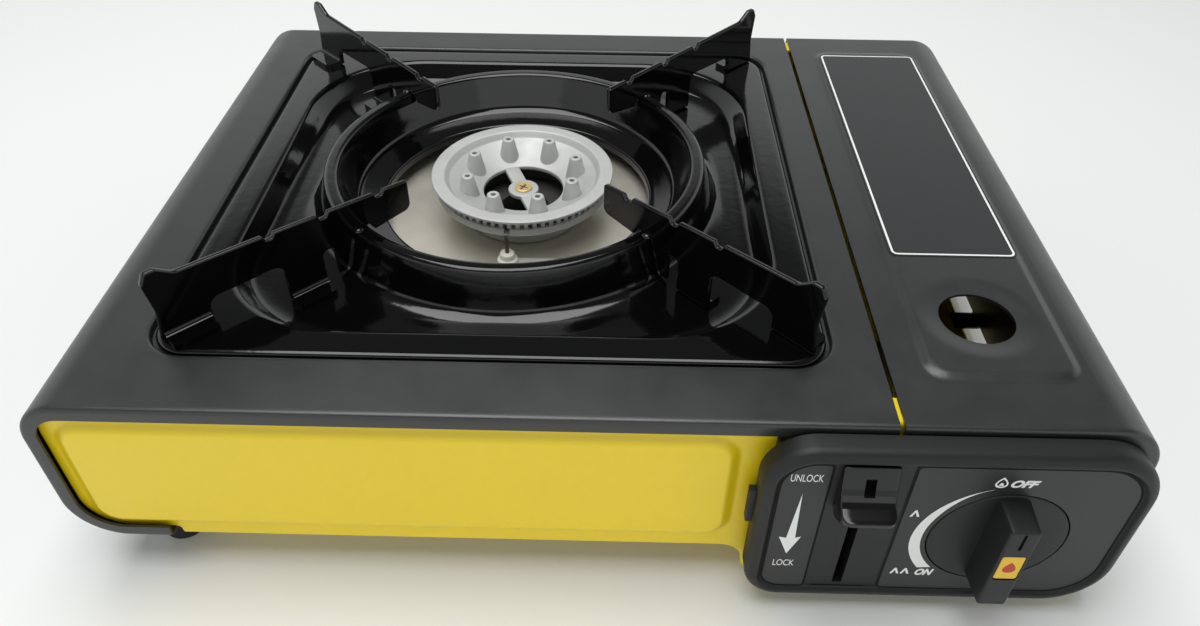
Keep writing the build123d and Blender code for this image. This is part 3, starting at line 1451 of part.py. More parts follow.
with BuildPart() as bracket_screws:
    for side in (-1, 1):
        with Locations(
            (BURNER_X + side * (BRACKET_HALF_X + BRACKET_FOOT / 2), BURNER_Y, LEFT_FLOOR + BRACKET_SHEET)
        ):
            Cylinder(SCREW_HEAD_R, SCREW_HEAD, align=(Align.CENTER, Align.CENTER, Align.MIN))
            Cylinder(
                SCREW_R, BRACKET_SHEET + BODY_SHEET, align=(Align.CENTER, Align.CENTER, Align.MAX)
            )
save(bracket_screws, "bracket_screws")

# Mixing tube from the nozzle to the burner's socket
TUBE_END = SOCKET_REACH - SOCKET_DEPTH
TUBE_POINTS = [
    (TUBE_START_X, GAS_Y, GAS_Z),
    (TUBE_BEND_X, GAS_Y, GAS_Z),
    (BURNER_X + TUBE_END * SOCKET_DIR[0], BURNER_Y + TUBE_END * SOCKET_DIR[1], GAS_Z),
]
with BuildPart() as mixing_tube:
    with BuildLine() as tube_line:
        FilletPolyline(*TUBE_POINTS, radius=TUBE_BEND_R)
    with BuildSketch(Plane(origin=TUBE_POINTS[0], z_dir=(-1, 0, 0))) as tube_section:
        Circle(TUBE_R)
        Circle(TUBE_R - TUBE_WALL, mode=Mode.SUBTRACT)
    sweep()
save(mixing_tube, "mixing_tube")

# Piezo igniter, its wire and the spark electrode
with BuildPart() as igniter:
    extrude(
        box_outline(
            wall_plane(IGNITER_REAR),
            IGNITER_X - IGNITER_SIZE / 2,
            IGNITER_Z - IGNITER_SIZE / 2,
            IGNITER_X + IGNITER_SIZE / 2,
            IGNITER_Z + IGNITER_SIZE / 2,
        ),
        amount=IGNITER_LENGTH,
    )
save(igniter, "igniter")

CERAMIC_LOW = REFLECTOR_Z - CERAMIC_BELOW
with BuildPart() as electrode_insulator:
    with Locations((ELECTRODE_X, ELECTRODE_Y, CERAMIC_LOW)):
        Cylinder(
            CERAMIC_R,
            CERAMIC_BELOW + CERAMIC_ABOVE,
            align=(Align.CENTER, Align.CENTER, Align.MIN),
        )
    with Locations((ELECTRODE_X, ELECTRODE_Y, REFLECTOR_Z)):
        Cylinder(CERAMIC_COLLAR_R, CERAMIC_COLLAR, align=(Align.CENTER, Align.CENTER, Align.MIN))
    with Locations((ELECTRODE_X, ELECTRODE_Y, CERAMIC_LOW)):
        Cylinder(
            ROD_R + SCREW_CLEAR,
            CERAMIC_BELOW + CERAMIC_ABOVE,
            align=(Align.CENTER, Align.CENTER, Align.MIN),
            mode=Mode.SUBTRACT,
        )
save(electrode_insulator, "electrode_insulator")

with BuildPart() as electrode_rod:
    with Locations((ELECTRODE_X, ELECTRODE_Y, CERAMIC_LOW)):
        Cylinder(ROD_R, ROD_TOP - CERAMIC_LOW, align=(Align.CENTER, Align.CENTER, Align.MIN))
save(electrode_rod, "electrode_rod")

with BuildPart() as electrode_clip:
    clip_end = ELECTRODE_X + CLIP_LENGTH
    clip_rear = ELECTRODE_Y + CLIP_WIDTH / 2
    clip_front = ELECTRODE_Y - CLIP_WIDTH / 2
    extrude(
        polygon_outline(
            Plane.XY.offset(REFLECTOR_Z),
            [
                (ELECTRODE_X, clip_front),
                (clip_end - CLIP_POINT, clip_front),
                (clip_end, clip_rear),
                (ELECTRODE_X, clip_rear),
            ],
        ),
        amount=CLIP_SHEET,
    )
    extrude(
        round_outline(Plane.XY.offset(REFLECTOR_Z), ELECTRODE_X, ELECTRODE_Y, CERAMIC_COLLAR_R + SCREW_CLEAR),
        amount=CLIP_SHEET,
        mode=Mode.SUBTRACT,
    )
save(electrode_clip, "electrode_clip")

WIRE_FLOOR = LEFT_FLOOR + WIRE_R + WIRE_FLOOR_GAP
WIRE_POINTS = [
    (IGNITER_X, IGNITER_REAR, IGNITER_Z),
    (IGNITER_X, WIRE_LANE, IGNITER_Z),
    (PARTITION_X - 4 * WIRE_TURN_R, WIRE_LANE, IGNITER_Z),
    (STEP_X - 3 * WIRE_TURN_R, WIRE_LANE, WIRE_FLOOR),
    (ELECTRODE_X, WIRE_LANE, WIRE_FLOOR),
    (ELECTRODE_X, ELECTRODE_Y, WIRE_FLOOR),
    (ELECTRODE_X, ELECTRODE_Y, CERAMIC_LOW),
]
with BuildPart() as ignition_wire:
    with BuildLine() as wire_line:
        FilletPolyline(*WIRE_POINTS, radius=WIRE_TURN_R)
    with BuildSketch(Plane(origin=WIRE_POINTS[0], z_dir=(0, 1, 0))) as wire_section:
        Circle(WIRE_R)
    sweep()
save(ignition_wire, "ignition_wire")

# Drip tray, one enamelled pressing
TRAY_UNDER = TRAY_RIM - TRAY_SHEET
BASIN_LOW_R = BASIN_R - BASIN_SLOPE
with BuildPart() as tray:
    extrude(square_outline(SEAT_Z, TRAY_HALF, TRAY_R), amount=TRAY_LIP)
    extrude(
        square_outline(SEAT_Z, TRAY_HALF - TRAY_SHEET, TRAY_R - TRAY_SHEET),
        amount=TRAY_LIP - TRAY_SHEET,
        mode=Mode.SUBTRACT,
    )
    loft(
        [
            square_outline(TRAY_RIM, BASIN_HALF + TRAY_SHEET, BASIN_R + TRAY_SHEET),
            square_outline(
                BASIN_FLOOR - TRAY_SHEET, BASIN_LOW_HALF + TRAY_SHEET, BASIN_LOW_R + TRAY_SHEET
            ),
        ]
    )
    loft(
        [
            square_outline(TRAY_RIM, BASIN_HALF, BASIN_R),
            square_outline(BASIN_FLOOR, BASIN_LOW_HALF, BASIN_LOW_R),
        ],
        mode=Mode.SUBTRACT,
    )
    extrude(
        round_outline(Plane.XY.offset(BASIN_FLOOR - TRAY_SHEET), TRAY_X, TRAY_Y, RING_FOOT_R),
        amount=TRAY_SHEET,
        mode=Mode.SUBTRACT,
    )
    with BuildSketch(turned_plane(TRAY_X, TRAY_Y)) as ring_profile:
        with BuildLine():
            Polyline(
                (RING_FOOT_R, BASIN_FLOOR),
                (CREST_OUT_R, CREST_Z),
                (CREST_IN_R, CREST_Z),
                (RING_LEDGE_R, RING_LEDGE_Z),
                (RING_HOLE_R, RING_HOLE_Z),
                (RING_HOLE_R, RING_HOLE_Z - RING_LIP),
                (RING_HOLE_R + TRAY_SHEET, RING_HOLE_Z - RING_LIP),
                (RING_HOLE_R + TRAY_SHEET, RING_HOLE_Z - TRAY_SHEET),
                (RING_LEDGE_R + TRAY_SHEET, RING_LEDGE_Z - TRAY_SHEET),
                (CREST_IN_R + TRAY_SHEET, CREST_Z - TRAY_SHEET),
                (CREST_OUT_R - TRAY_SHEET, CREST_Z - TRAY_SHEET),
                (RING_FOOT_R - TRAY_SHEET, BASIN_FLOOR - TRAY_SHEET),
                (RING_FOOT_R, BASIN_FLOOR - TRAY_SHEET),
                close=True,
            )
        make_face()
    revolve(axis=Axis((TRAY_X, TRAY_Y, 0), (0, 0, 1)))
    crest_edges = tray.edges().filter_by(GeomType.CIRCLE).group_by(Axis.Z)[-1]
    fillet(crest_edges, radius=CREST_ROUND)
save(tray, "tray")


# Pan support arms, one pressed sheet shape turned to the four corners of the tray
def top_edge(r):
    """Height of an arm's top edge at radius r."""
    return ARM_INNER_TOP + ARM_RISE * (r - ARM_INNER_R)


def arm_plane(angle):
    """Upright plane along an arm, drawn in radius and height."""
    c = cos(radians(angle))
    s = sin(radians(angle))
    return Plane(origin=(TRAY_X, TRAY_Y, 0), x_dir=(c, s, 0), z_dir=(s, -c, 0))


def arm_points():
    """Outline of an arm from the inner end along the top, round the horn and back below."""
    points = [(ARM_INNER_R, ARM_INNER_LOW), (ARM_INNER_R, ARM_INNER_TOP)]
    for step in NOTCH_STEPS:
        start = ARM_INNER_R + step
        end = start + NOTCH_WIDTH
        points += [
            (start, top_edge(start)),
            (start + NOTCH_DEPTH / 2, top_edge(start) - NOTCH_DEPTH),
            (end - NOTCH_DEPTH, top_edge(end) - NOTCH_DEPTH),
            (end, top_edge(end)),
        ]
    points += [
        (HORN_R - HORN_ROOT, top_edge(HORN_R - HORN_ROOT)),
        (HORN_R - HORN_ROUND, HORN_TOP),
        (HORN_R + HORN_ROUND, HORN_TOP),
        (ARM_OUTER_R, top_edge(ARM_OUTER_R)),
        (ARM_OUTER_R - HORN_WAIST, (ARM_OUTER_TOP + TRAY_RIM) / 2),
        (ARM_OUTER_R, TRAY_RIM),
        (OUTER_FOOT_R, TRAY_RIM),
        (OUTER_FOOT_R, ARCH_Z - ARCH_ROUND),
        (OUTER_FOOT_R - ARCH_ROUND, ARCH_Z),
        (LEG_OUTER_R + ARCH_ROUND, ARCH_Z),
        (LEG_OUTER_R, ARCH_Z - ARCH_ROUND),
        (LEG_OUTER_R, BASIN_FLOOR),
        (LEG_INNER_R, BASIN_FLOOR),
        (LEG_INNER_R, SMALL_ARCH_Z),
        (ARM_NECK_R, SMALL_ARCH_Z),
        (ARM_NECK_R, BASIN_FLOOR + ARM_SHEET),
        (RING_FOOT_R + ARM_SHEET / 2, BASIN_FLOOR + ARM_SHEET),
        (CREST_OUT_R + ARM_SHEET / 2, CREST_Z),
        (CREST_IN_R - ARM_SHEET / 2, CREST_Z),
        (CREST_IN_R - ARM_SHEET, ARM_UNDER),
    ]
    return points


for corner, angle in ARM_ANGLES.items():
    with BuildPart() as pan_support:
        extrude(polygon_outline(arm_plane(angle), arm_points()), amount=ARM_SHEET / 2, both=True)
        extrude(
            box_outline(
                arm_plane(angle), OUTER_FOOT_R, TRAY_RIM, ARM_OUTER_R - HORN_WAIST, TRAY_RIM + ARM_SHEET
            ),
            amount=-FOOT_FLANGE,
        )
        extrude(
            box_outline(
                arm_plane(angle), LEG_INNER_R, BASIN_FLOOR, LEG_OUTER_R, BASIN_FLOOR + ARM_SHEET
            ),
            amount=-FOOT_FLANGE,
        )
    save(pan_support, f"pan_support_{corner}")

# Rubber feet, tall under the cover's return and short under the bay
FOOT_LEFT_X = LEFT + FOOT_INSET_LEFT
FOOT_RIGHT_X = BODY_RIGHT - FOOT_INSET_RIGHT
FEET = {
    "foot_front_left": (FOOT_LEFT_X, FRONT + FOOT_INSET_Y, RETURN_Z),
    "foot_rear_left": (FOOT_LEFT_X, REAR - FOOT_INSET_Y, RETURN_Z),
    "foot_front_right": (FOOT_RIGHT_X, FRONT + FOOT_INSET_Y, FLOOR_RIGHT),
    "foot_rear_right": (FOOT_RIGHT_X, REAR - FOOT_INSET_Y, FLOOR_RIGHT),
}
for foot_name, (foot_x, foot_y, foot_top) in FEET.items():
    with BuildPart() as rubber_foot:
        with Locations((foot_x, foot_y, 0)):
            Cone(FOOT_LOW_R, FOOT_TOP_R, foot_top, align=(Align.CENTER, Align.CENTER, Align.MIN))
    save(rubber_foot, foot_name)
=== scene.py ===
import logging
import math
from dataclasses import dataclass, field
from enum import Enum
from typing import Callable, Optional, Sequence

import bpy
import numpy as np
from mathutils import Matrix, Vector
from mathutils.geometry import delaunay_2d_cdt


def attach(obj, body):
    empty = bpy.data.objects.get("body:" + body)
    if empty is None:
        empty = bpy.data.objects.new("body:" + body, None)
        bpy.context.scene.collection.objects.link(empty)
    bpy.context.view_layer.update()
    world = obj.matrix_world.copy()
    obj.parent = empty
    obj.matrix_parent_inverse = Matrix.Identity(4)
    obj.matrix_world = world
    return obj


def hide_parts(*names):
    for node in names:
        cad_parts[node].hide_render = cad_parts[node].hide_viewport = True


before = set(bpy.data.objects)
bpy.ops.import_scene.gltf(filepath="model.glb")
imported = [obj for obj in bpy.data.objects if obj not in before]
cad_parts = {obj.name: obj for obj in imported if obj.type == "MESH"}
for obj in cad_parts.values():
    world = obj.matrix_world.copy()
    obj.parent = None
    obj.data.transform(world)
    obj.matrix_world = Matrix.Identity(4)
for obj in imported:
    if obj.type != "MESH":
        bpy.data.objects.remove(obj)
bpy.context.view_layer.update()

Array = np.ndarray
Place = Callable[[Array], Array]
Triple = tuple[float, float, float]
MM = 0.001
log = logging.getLogger("stove")

# Sizes that several pieces share, in millimetres
FRONT = -122.5
REAR = 142.5
TOP = 82.0
HALF_WIDTH = 172.0
TRAY_CENTRE = (-32.6, 12.1)
BURNER_CENTRE = (-30.3, 12.1)


class Body(str, Enum):
    """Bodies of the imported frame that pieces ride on."""

    STOVE = "stove"
    LID = "lid"
    KNOB = "knob"
    LEVER = "lever"
    TRAY = "tray"


def linear(code: str) -> tuple[float, float, float, float]:
    """Turn an sRGB hex colour into linear values.

    Args:
        code: colour as "#rrggbb".

    Returns:
        Red, green, blue and an alpha of one, linear.
    """
    srgb = np.array([int(code[i : i + 2], 16) for i in (1, 3, 5)]) / 255.0
    value = np.where(srgb <= 0.04045, srgb / 12.92, ((srgb + 0.055) / 1.055) ** 2.4)
    return (*value.tolist(), 1.0)


def smooth_step(value: Array) -> Array:
    """Ease values from nought to one, flat at both ends.

    Args:
        value: any array; it is clipped to 0..1.

    Returns:
        Three times the square less two times the cube.
    """
    t = np.clip(value, 0.0, 1.0)
    return t * t * (3.0 - 2.0 * t)


def arc_steps(radius: float, steps: int = 6) -> Array:
    """Quarter round as (inset, advance) pairs, from a full inset to none.

    Args:
        radius: radius of the round.
        steps: number of segments.

    Returns:
        Array (steps + 1, 2); the first pair is (radius, 0) and the last (0, radius).
    """
    angle = np.linspace(0.0, math.pi / 2, steps + 1)
    return radius * np.stack([1.0 - np.sin(angle), 1.0 - np.cos(angle)], axis=1)


def add_node(tree: bpy.types.NodeTree, kind: str, settings: dict, links: dict) -> bpy.types.Node:
    """Add one shader node.

    Args:
        tree: node tree of a material or world.
        kind: type name of the node.
        settings: attribute names, or input names, with their values.
        links: input names with the output sockets that feed them.

    Returns:
        The new node.
    """
    node = tree.nodes.new(kind)
    for name, value in settings.items():
        if name in node.inputs:
            node.inputs[name].default_value = value
        else:
            setattr(node, name, value)
    for name, socket in links.items():
        tree.links.new(socket, node.inputs[name])
    return node


@dataclass(frozen=True)
class Finish:
    """Procedural finish of a real material, or of painted shade or painted reflection, with its grain in
    millimetres.

    A fine noise gives the grain as a bump, and a broad one shifts colour and roughness.
    """

    name: str
    colour: str
    roughness: float
    metallic: float = 0.0
    coat: float = 0.0
    coat_roughness: float = 0.05
    specular: float = 0.5
    grain_mm: float = 0.6
    grain_height_mm: float = 0.0
    grain_detail: float = 2.0
    mottle_mm: float = 18.0
    mottle: float = 0.0
    roughness_mottle: float = 0.0

    def material(self) -> bpy.types.Material:
        """Build the material once and return it from then on.

        Returns:
            The material of this finish.
        """
        found = bpy.data.materials.get(self.name)
        if found:
            return found
        made = bpy.data.materials.new(self.name)
        made.use_nodes = True
        tree = made.node_tree
        shader = tree.nodes["Principled BSDF"]
        for name, value in {
            "Base Color": linear(self.colour),
            "Roughness": self.roughness,
            "Metallic": self.metallic,
            "Coat Weight": self.coat,
            "Coat Roughness": self.coat_roughness,
            "Specular IOR Level": self.specular,
        }.items():
            shader.inputs[name].default_value = value
        place = add_node(tree, "ShaderNodeTexCoord", {}, {}).outputs["Object"]
        if self.mottle or self.roughness_mottle:
            self._add_mottle(tree, shader, place)
        if self.grain_height_mm:
            self._add_grain(tree, shader, place)
        return made

    def _add_mottle(
        self, tree: bpy.types.NodeTree, shader: bpy.types.Node, place: bpy.types.NodeSocket
    ) -> None:
        """Shift colour and roughness with a broad noise.

        Args:
            tree: the material's nodes.
            shader: the surface shader.
            place: socket with object coordinates in metres.
        """
        noise = add_node(
            tree,
            "ShaderNodeTexNoise",
            {"Scale": 1.0 / (self.mottle_mm * MM), "Detail": 4.0, "Roughness": 0.6},
            {"Vector": place},
        ).outputs["Fac"]
        if self.mottle:
            base = np.array(linear(self.colour))
            low = (*np.clip(base[:3] * (1.0 - self.mottle), 0, 1).tolist(), 1.0)
            high = (*np.clip(base[:3] * (1.0 + self.mottle), 0, 1).tolist(), 1.0)
            mix = add_node(
                tree, "ShaderNodeMix", {"data_type": "RGBA"}, {"Factor": noise}
            )
            mix.inputs[6].default_value = low
            mix.inputs[7].default_value = high
            tree.links.new(mix.outputs[2], shader.inputs["Base Color"])
        if self.roughness_mottle:
            spread = add_node(
                tree,
                "ShaderNodeMapRange",
                {
                    "From Min": 0.3,
                    "From Max": 0.7,
                    "To Min": self.roughness - self.roughness_mottle,
                    "To Max": self.roughness + self.roughness_mottle,
                },
                {"Value": noise},
            )
            tree.links.new(spread.outputs["Result"], shader.inputs["Roughness"])

    def _add_grain(
        self, tree: bpy.types.NodeTree, shader: bpy.types.Node, place: bpy.types.NodeSocket
    ) -> None:
        """Raise a fine noise as a bump.

        Args:
            tree: the material's nodes.
            shader: the surface shader.
            place: socket with object coordinates in metres.
        """
        noise = add_node(
            tree,
            "ShaderNodeTexNoise",
            {"Scale": 1.0 / (self.grain_mm * MM), "Detail": self.grain_detail},
            {"Vector": place},
        ).outputs["Fac"]
        bump = add_node(
            tree,
            "ShaderNodeBump",
            {"Strength": 1.0, "Distance": self.grain_height_mm * MM},
            {"Height": noise},
        )
        tree.links.new(bump.outputs["Normal"], shader.inputs["Normal"])
        if self.coat:
            tree.links.new(bump.outputs["Normal"], shader.inputs["Coat Normal"])


POWDER = Finish(
    "black powder coat", "#1d1e1f", 0.35, grain_mm=0.5, grain_height_mm=0.035, specular=0.7,
    mottle=0.08, roughness_mottle=0.04,
)
ENAMEL = Finish(
    "black vitreous enamel", "#050506", 0.1, specular=0.5, grain_mm=5.0, grain_height_mm=0.04,
)
YELLOW = Finish(
    "yellow stove paint", "#e9cc17", 0.36, grain_mm=1.1, grain_height_mm=0.012, mottle=0.03,
    mottle_mm=40.0, coat=0.15, coat_roughness=0.2,
)
PANEL = Finish(
    "black moulded plastic", "#151617", 0.48, grain_mm=0.35, grain_height_mm=0.012, mottle=0.06,
    specular=0.38,
)
LEVER = Finish("black gloss plastic", "#08080a", 0.17, grain_mm=4.0, grain_height_mm=0.02)
FILM = Finish("black label film", "#1d1e20", 0.42, grain_mm=0.3, grain_height_mm=0.006)
PRINT = Finish("white label print", "#e4e6e4", 0.5, grain_mm=0.3, grain_height_mm=0.004)
INSERT = Finish("yellow printed plastic", "#e2b81c", 0.35, mottle=0.05)
FLAME = Finish("red label print", "#b4301c", 0.45)
# Dark lines: the painted shadow of the gaps round the films, and the line at the foot of the panel's middle
# strip.
DARK_LINE_AND_GAP_SHADE = Finish("black line and painted gap shade", "#040404", 0.6, specular=0.15)
CAST = Finish(
    "cast aluminium", "#bcbdbb", 0.58, metallic=0.55, grain_mm=0.45, grain_height_mm=0.04,
    grain_detail=4.0, mottle=0.08, mottle_mm=9.0, roughness_mottle=0.08,
)
# Painted shade: cast aluminium darkened to stand in for the shade inside hollows; not a darker metal.
CAST_PAINTED_SHADE = Finish("cast aluminium painted shade", "#2b2a28", 0.75, grain_mm=0.6, grain_height_mm=0.03)
BRIGHT = Finish(
    "bright rolled steel", "#e4dfd2", 0.36, metallic=0.75, grain_mm=14.0, grain_height_mm=0.03,
    mottle=0.05, roughness_mottle=0.04,
)
ZINC = Finish(
    "zinc-plated steel", "#a9abac", 0.3, metallic=1.0, grain_mm=1.2, grain_height_mm=0.01,
    mottle=0.08,
)
DARK_STEEL = Finish("dark steel wire", "#5b5853", 0.4, metallic=1.0, grain_mm=0.5, grain_height_mm=0.01)
ALLOY = Finish("die-cast zinc", "#8d8f90", 0.45, metallic=1.0, grain_mm=0.8, grain_height_mm=0.03)
# Painted reflection: plated steel given a pale, little-metallic colour that stands in for the reflection
# that makes the clip look white.
STRIP_PAINTED_REFLECTION = Finish("plated steel with painted reflection", "#d9d8d2", 0.5, metallic=0.25, grain_mm=0.6, grain_height_mm=0.01)
BRASS = Finish("brass", "#dad6ae", 0.45, metallic=1.0, grain_mm=0.6, grain_height_mm=0.01, mottle=0.1)
RUBBER = Finish("black rubber", "#161616", 0.75, grain_mm=0.5, grain_height_mm=0.03)
CERAMIC = Finish("white glazed ceramic", "#e9e6dc", 0.22, mottle=0.03)
SLEEVE = Finish("grey silicone sleeve", "#b9b8b2", 0.55, grain_mm=0.6, grain_height_mm=0.02)
HOUSING = Finish("grey moulded plastic", "#3b3c3e", 0.5, grain_mm=0.4, grain_height_mm=0.015)


@dataclass(frozen=True)
class Outline:
    """Straight path with rounded corners that can be moved inwards, to its left.

    A closed outline runs anticlockwise. Moving it keeps the number of points, so that moved copies
    join into a grid: a corner that turns left loses radius and one that turns right gains it.
    """

    corners: tuple[tuple[float, float], ...]
    radii: tuple[float, ...]
    closed: bool = True
    arc: int = 10
    line: int = 6

    def trace(self, inset: float = 0.0) -> Array:
        """Points along the path after moving it inwards.

        Args:
            inset: distance to move.

        Returns:
            Array (n, 2), each corner an arc and each side a straight run of points.
        """
        points = np.array(self.corners, float)
        ahead = np.roll(points, -1, axis=0) - points
        ahead /= np.linalg.norm(ahead, axis=1, keepdims=True)
        behind = np.roll(ahead, 1, axis=0)
        if not self.closed:
            ahead[-1] = behind[-1]
            behind[0] = ahead[0]
        left_ahead = np.stack([-ahead[:, 1], ahead[:, 0]], axis=1)
        left_behind = np.stack([-behind[:, 1], behind[:, 0]], axis=1)
        share = 1.0 + np.sum(left_ahead * left_behind, axis=1, keepdims=True)
        points = points + inset * (left_ahead + left_behind) / share
        cross = behind[:, 0] * ahead[:, 1] - behind[:, 1] * ahead[:, 0]
        turn = np.arctan2(cross, np.sum(behind * ahead, axis=1))
        radii = np.maximum(np.array(self.radii) - inset * np.sign(turn), 0.02)
        arcs = []
        steps = np.linspace(0.0, 1.0, self.arc + 1)[:, None]
        for point, radius, angle, before, normal in zip(points, radii, turn, behind, left_behind):
            reach = radius * math.tan(abs(angle) / 2)
            swing = steps * abs(angle)
            run = before * (np.sin(swing) * radius - reach)
            side = normal * math.copysign(1.0, angle) * (1.0 - np.cos(swing)) * radius
            arcs.append(point + run + side)
        pieces = []
        count = len(points)
        for i in range(count):
            is_end = not self.closed and i in (0, count - 1)
            pieces.append(points[i : i + 1] if is_end else arcs[i])
            if i == count - 1 and not self.closed:
                break
            after = (i + 1) % count
            end = not self.closed and after == count - 1
            goal = points[after] if end else arcs[after][0]
            between = np.linspace(0.0, 1.0, self.line + 1)[1:-1, None]
            pieces.append(pieces[-1][-1] + between * (goal - pieces[-1][-1]))
        return np.concatenate(pieces)


def rounded_box(
    left: float, low: float, right: float, high: float, radius: float, arc: int = 8, line: int = 4
) -> Outline:
    """Rounded rectangle as an anticlockwise outline.

    Args:
        left, low, right, high: sides of the rectangle.
        radius: corner radius.
        arc: segments in each corner.
        line: segments along each side.

    Returns:
        The closed outline.
    """
    corners = ((left, low), (right, low), (right, high), (left, high))
    return Outline(corners, (radius,) * 4, True, arc, line)


def circle(x: float, y: float, radius: float, count: int = 96) -> Array:
    """Points round a circle.

    Args:
        x, y: centre.
        radius: radius.
        count: number of points.

    Returns:
        Array (count, 2), anticlockwise.
    """
    angle = np.linspace(0.0, 2 * math.pi, count, endpoint=False)
    return np.stack([x + radius * np.cos(angle), y + radius * np.sin(angle)], axis=1)


def beside(loop: Array, gap: float) -> Array:
    """Copy of a loop moved to its left.

    Each point moves square to the mean direction of its two edges, by the gap over the cosine of
    half the turn between them. Edges shorter than half the gap are passed over.

    Args:
        loop: closed loop (n, 2).
        gap: how far it moves.

    Returns:
        Array (n, 2).
    """
    edges = np.roll(loop, -1, axis=0) - loop
    size = np.linalg.norm(edges, axis=1)
    kept = np.flatnonzero(size > abs(gap) / 2)
    ahead = edges[kept] / size[kept, None]
    spot = np.searchsorted(kept, np.arange(len(loop)))
    after = ahead[spot % len(kept)]
    mean = after + ahead[spot - 1]
    mean /= np.linalg.norm(mean, axis=1, keepdims=True)
    reach = gap / np.sum(mean * after, axis=1, keepdims=True)
    return loop + reach * np.stack([-mean[:, 1], mean[:, 0]], axis=1)


def rectangle(left: float, low: float, right: float, high: float, line: int) -> Array:
    """Points round a rectangle with square corners.

    Args:
        left, low, right, high: sides of the rectangle.
        line: segments along each side.

    Returns:
        Array (4 * line, 2), anticlockwise.
    """
    corners = np.array([[left, low], [right, low], [right, high], [left, high]])
    share = np.arange(line)[:, None, None] / line
    sides = corners + share * (np.roll(corners, -1, axis=0) - corners)
    return sides.swapaxes(0, 1).reshape(-1, 2)


def level(z: float) -> Place:
    """Place flat points at height z."""
    return lambda flat: np.column_stack([flat, np.full(len(flat), z)])


def upright(y: float) -> Place:
    """Place flat points, drawn in X and Z, at depth y."""
    return lambda flat: np.column_stack([flat[:, 0], np.full(len(flat), y), flat[:, 1]])


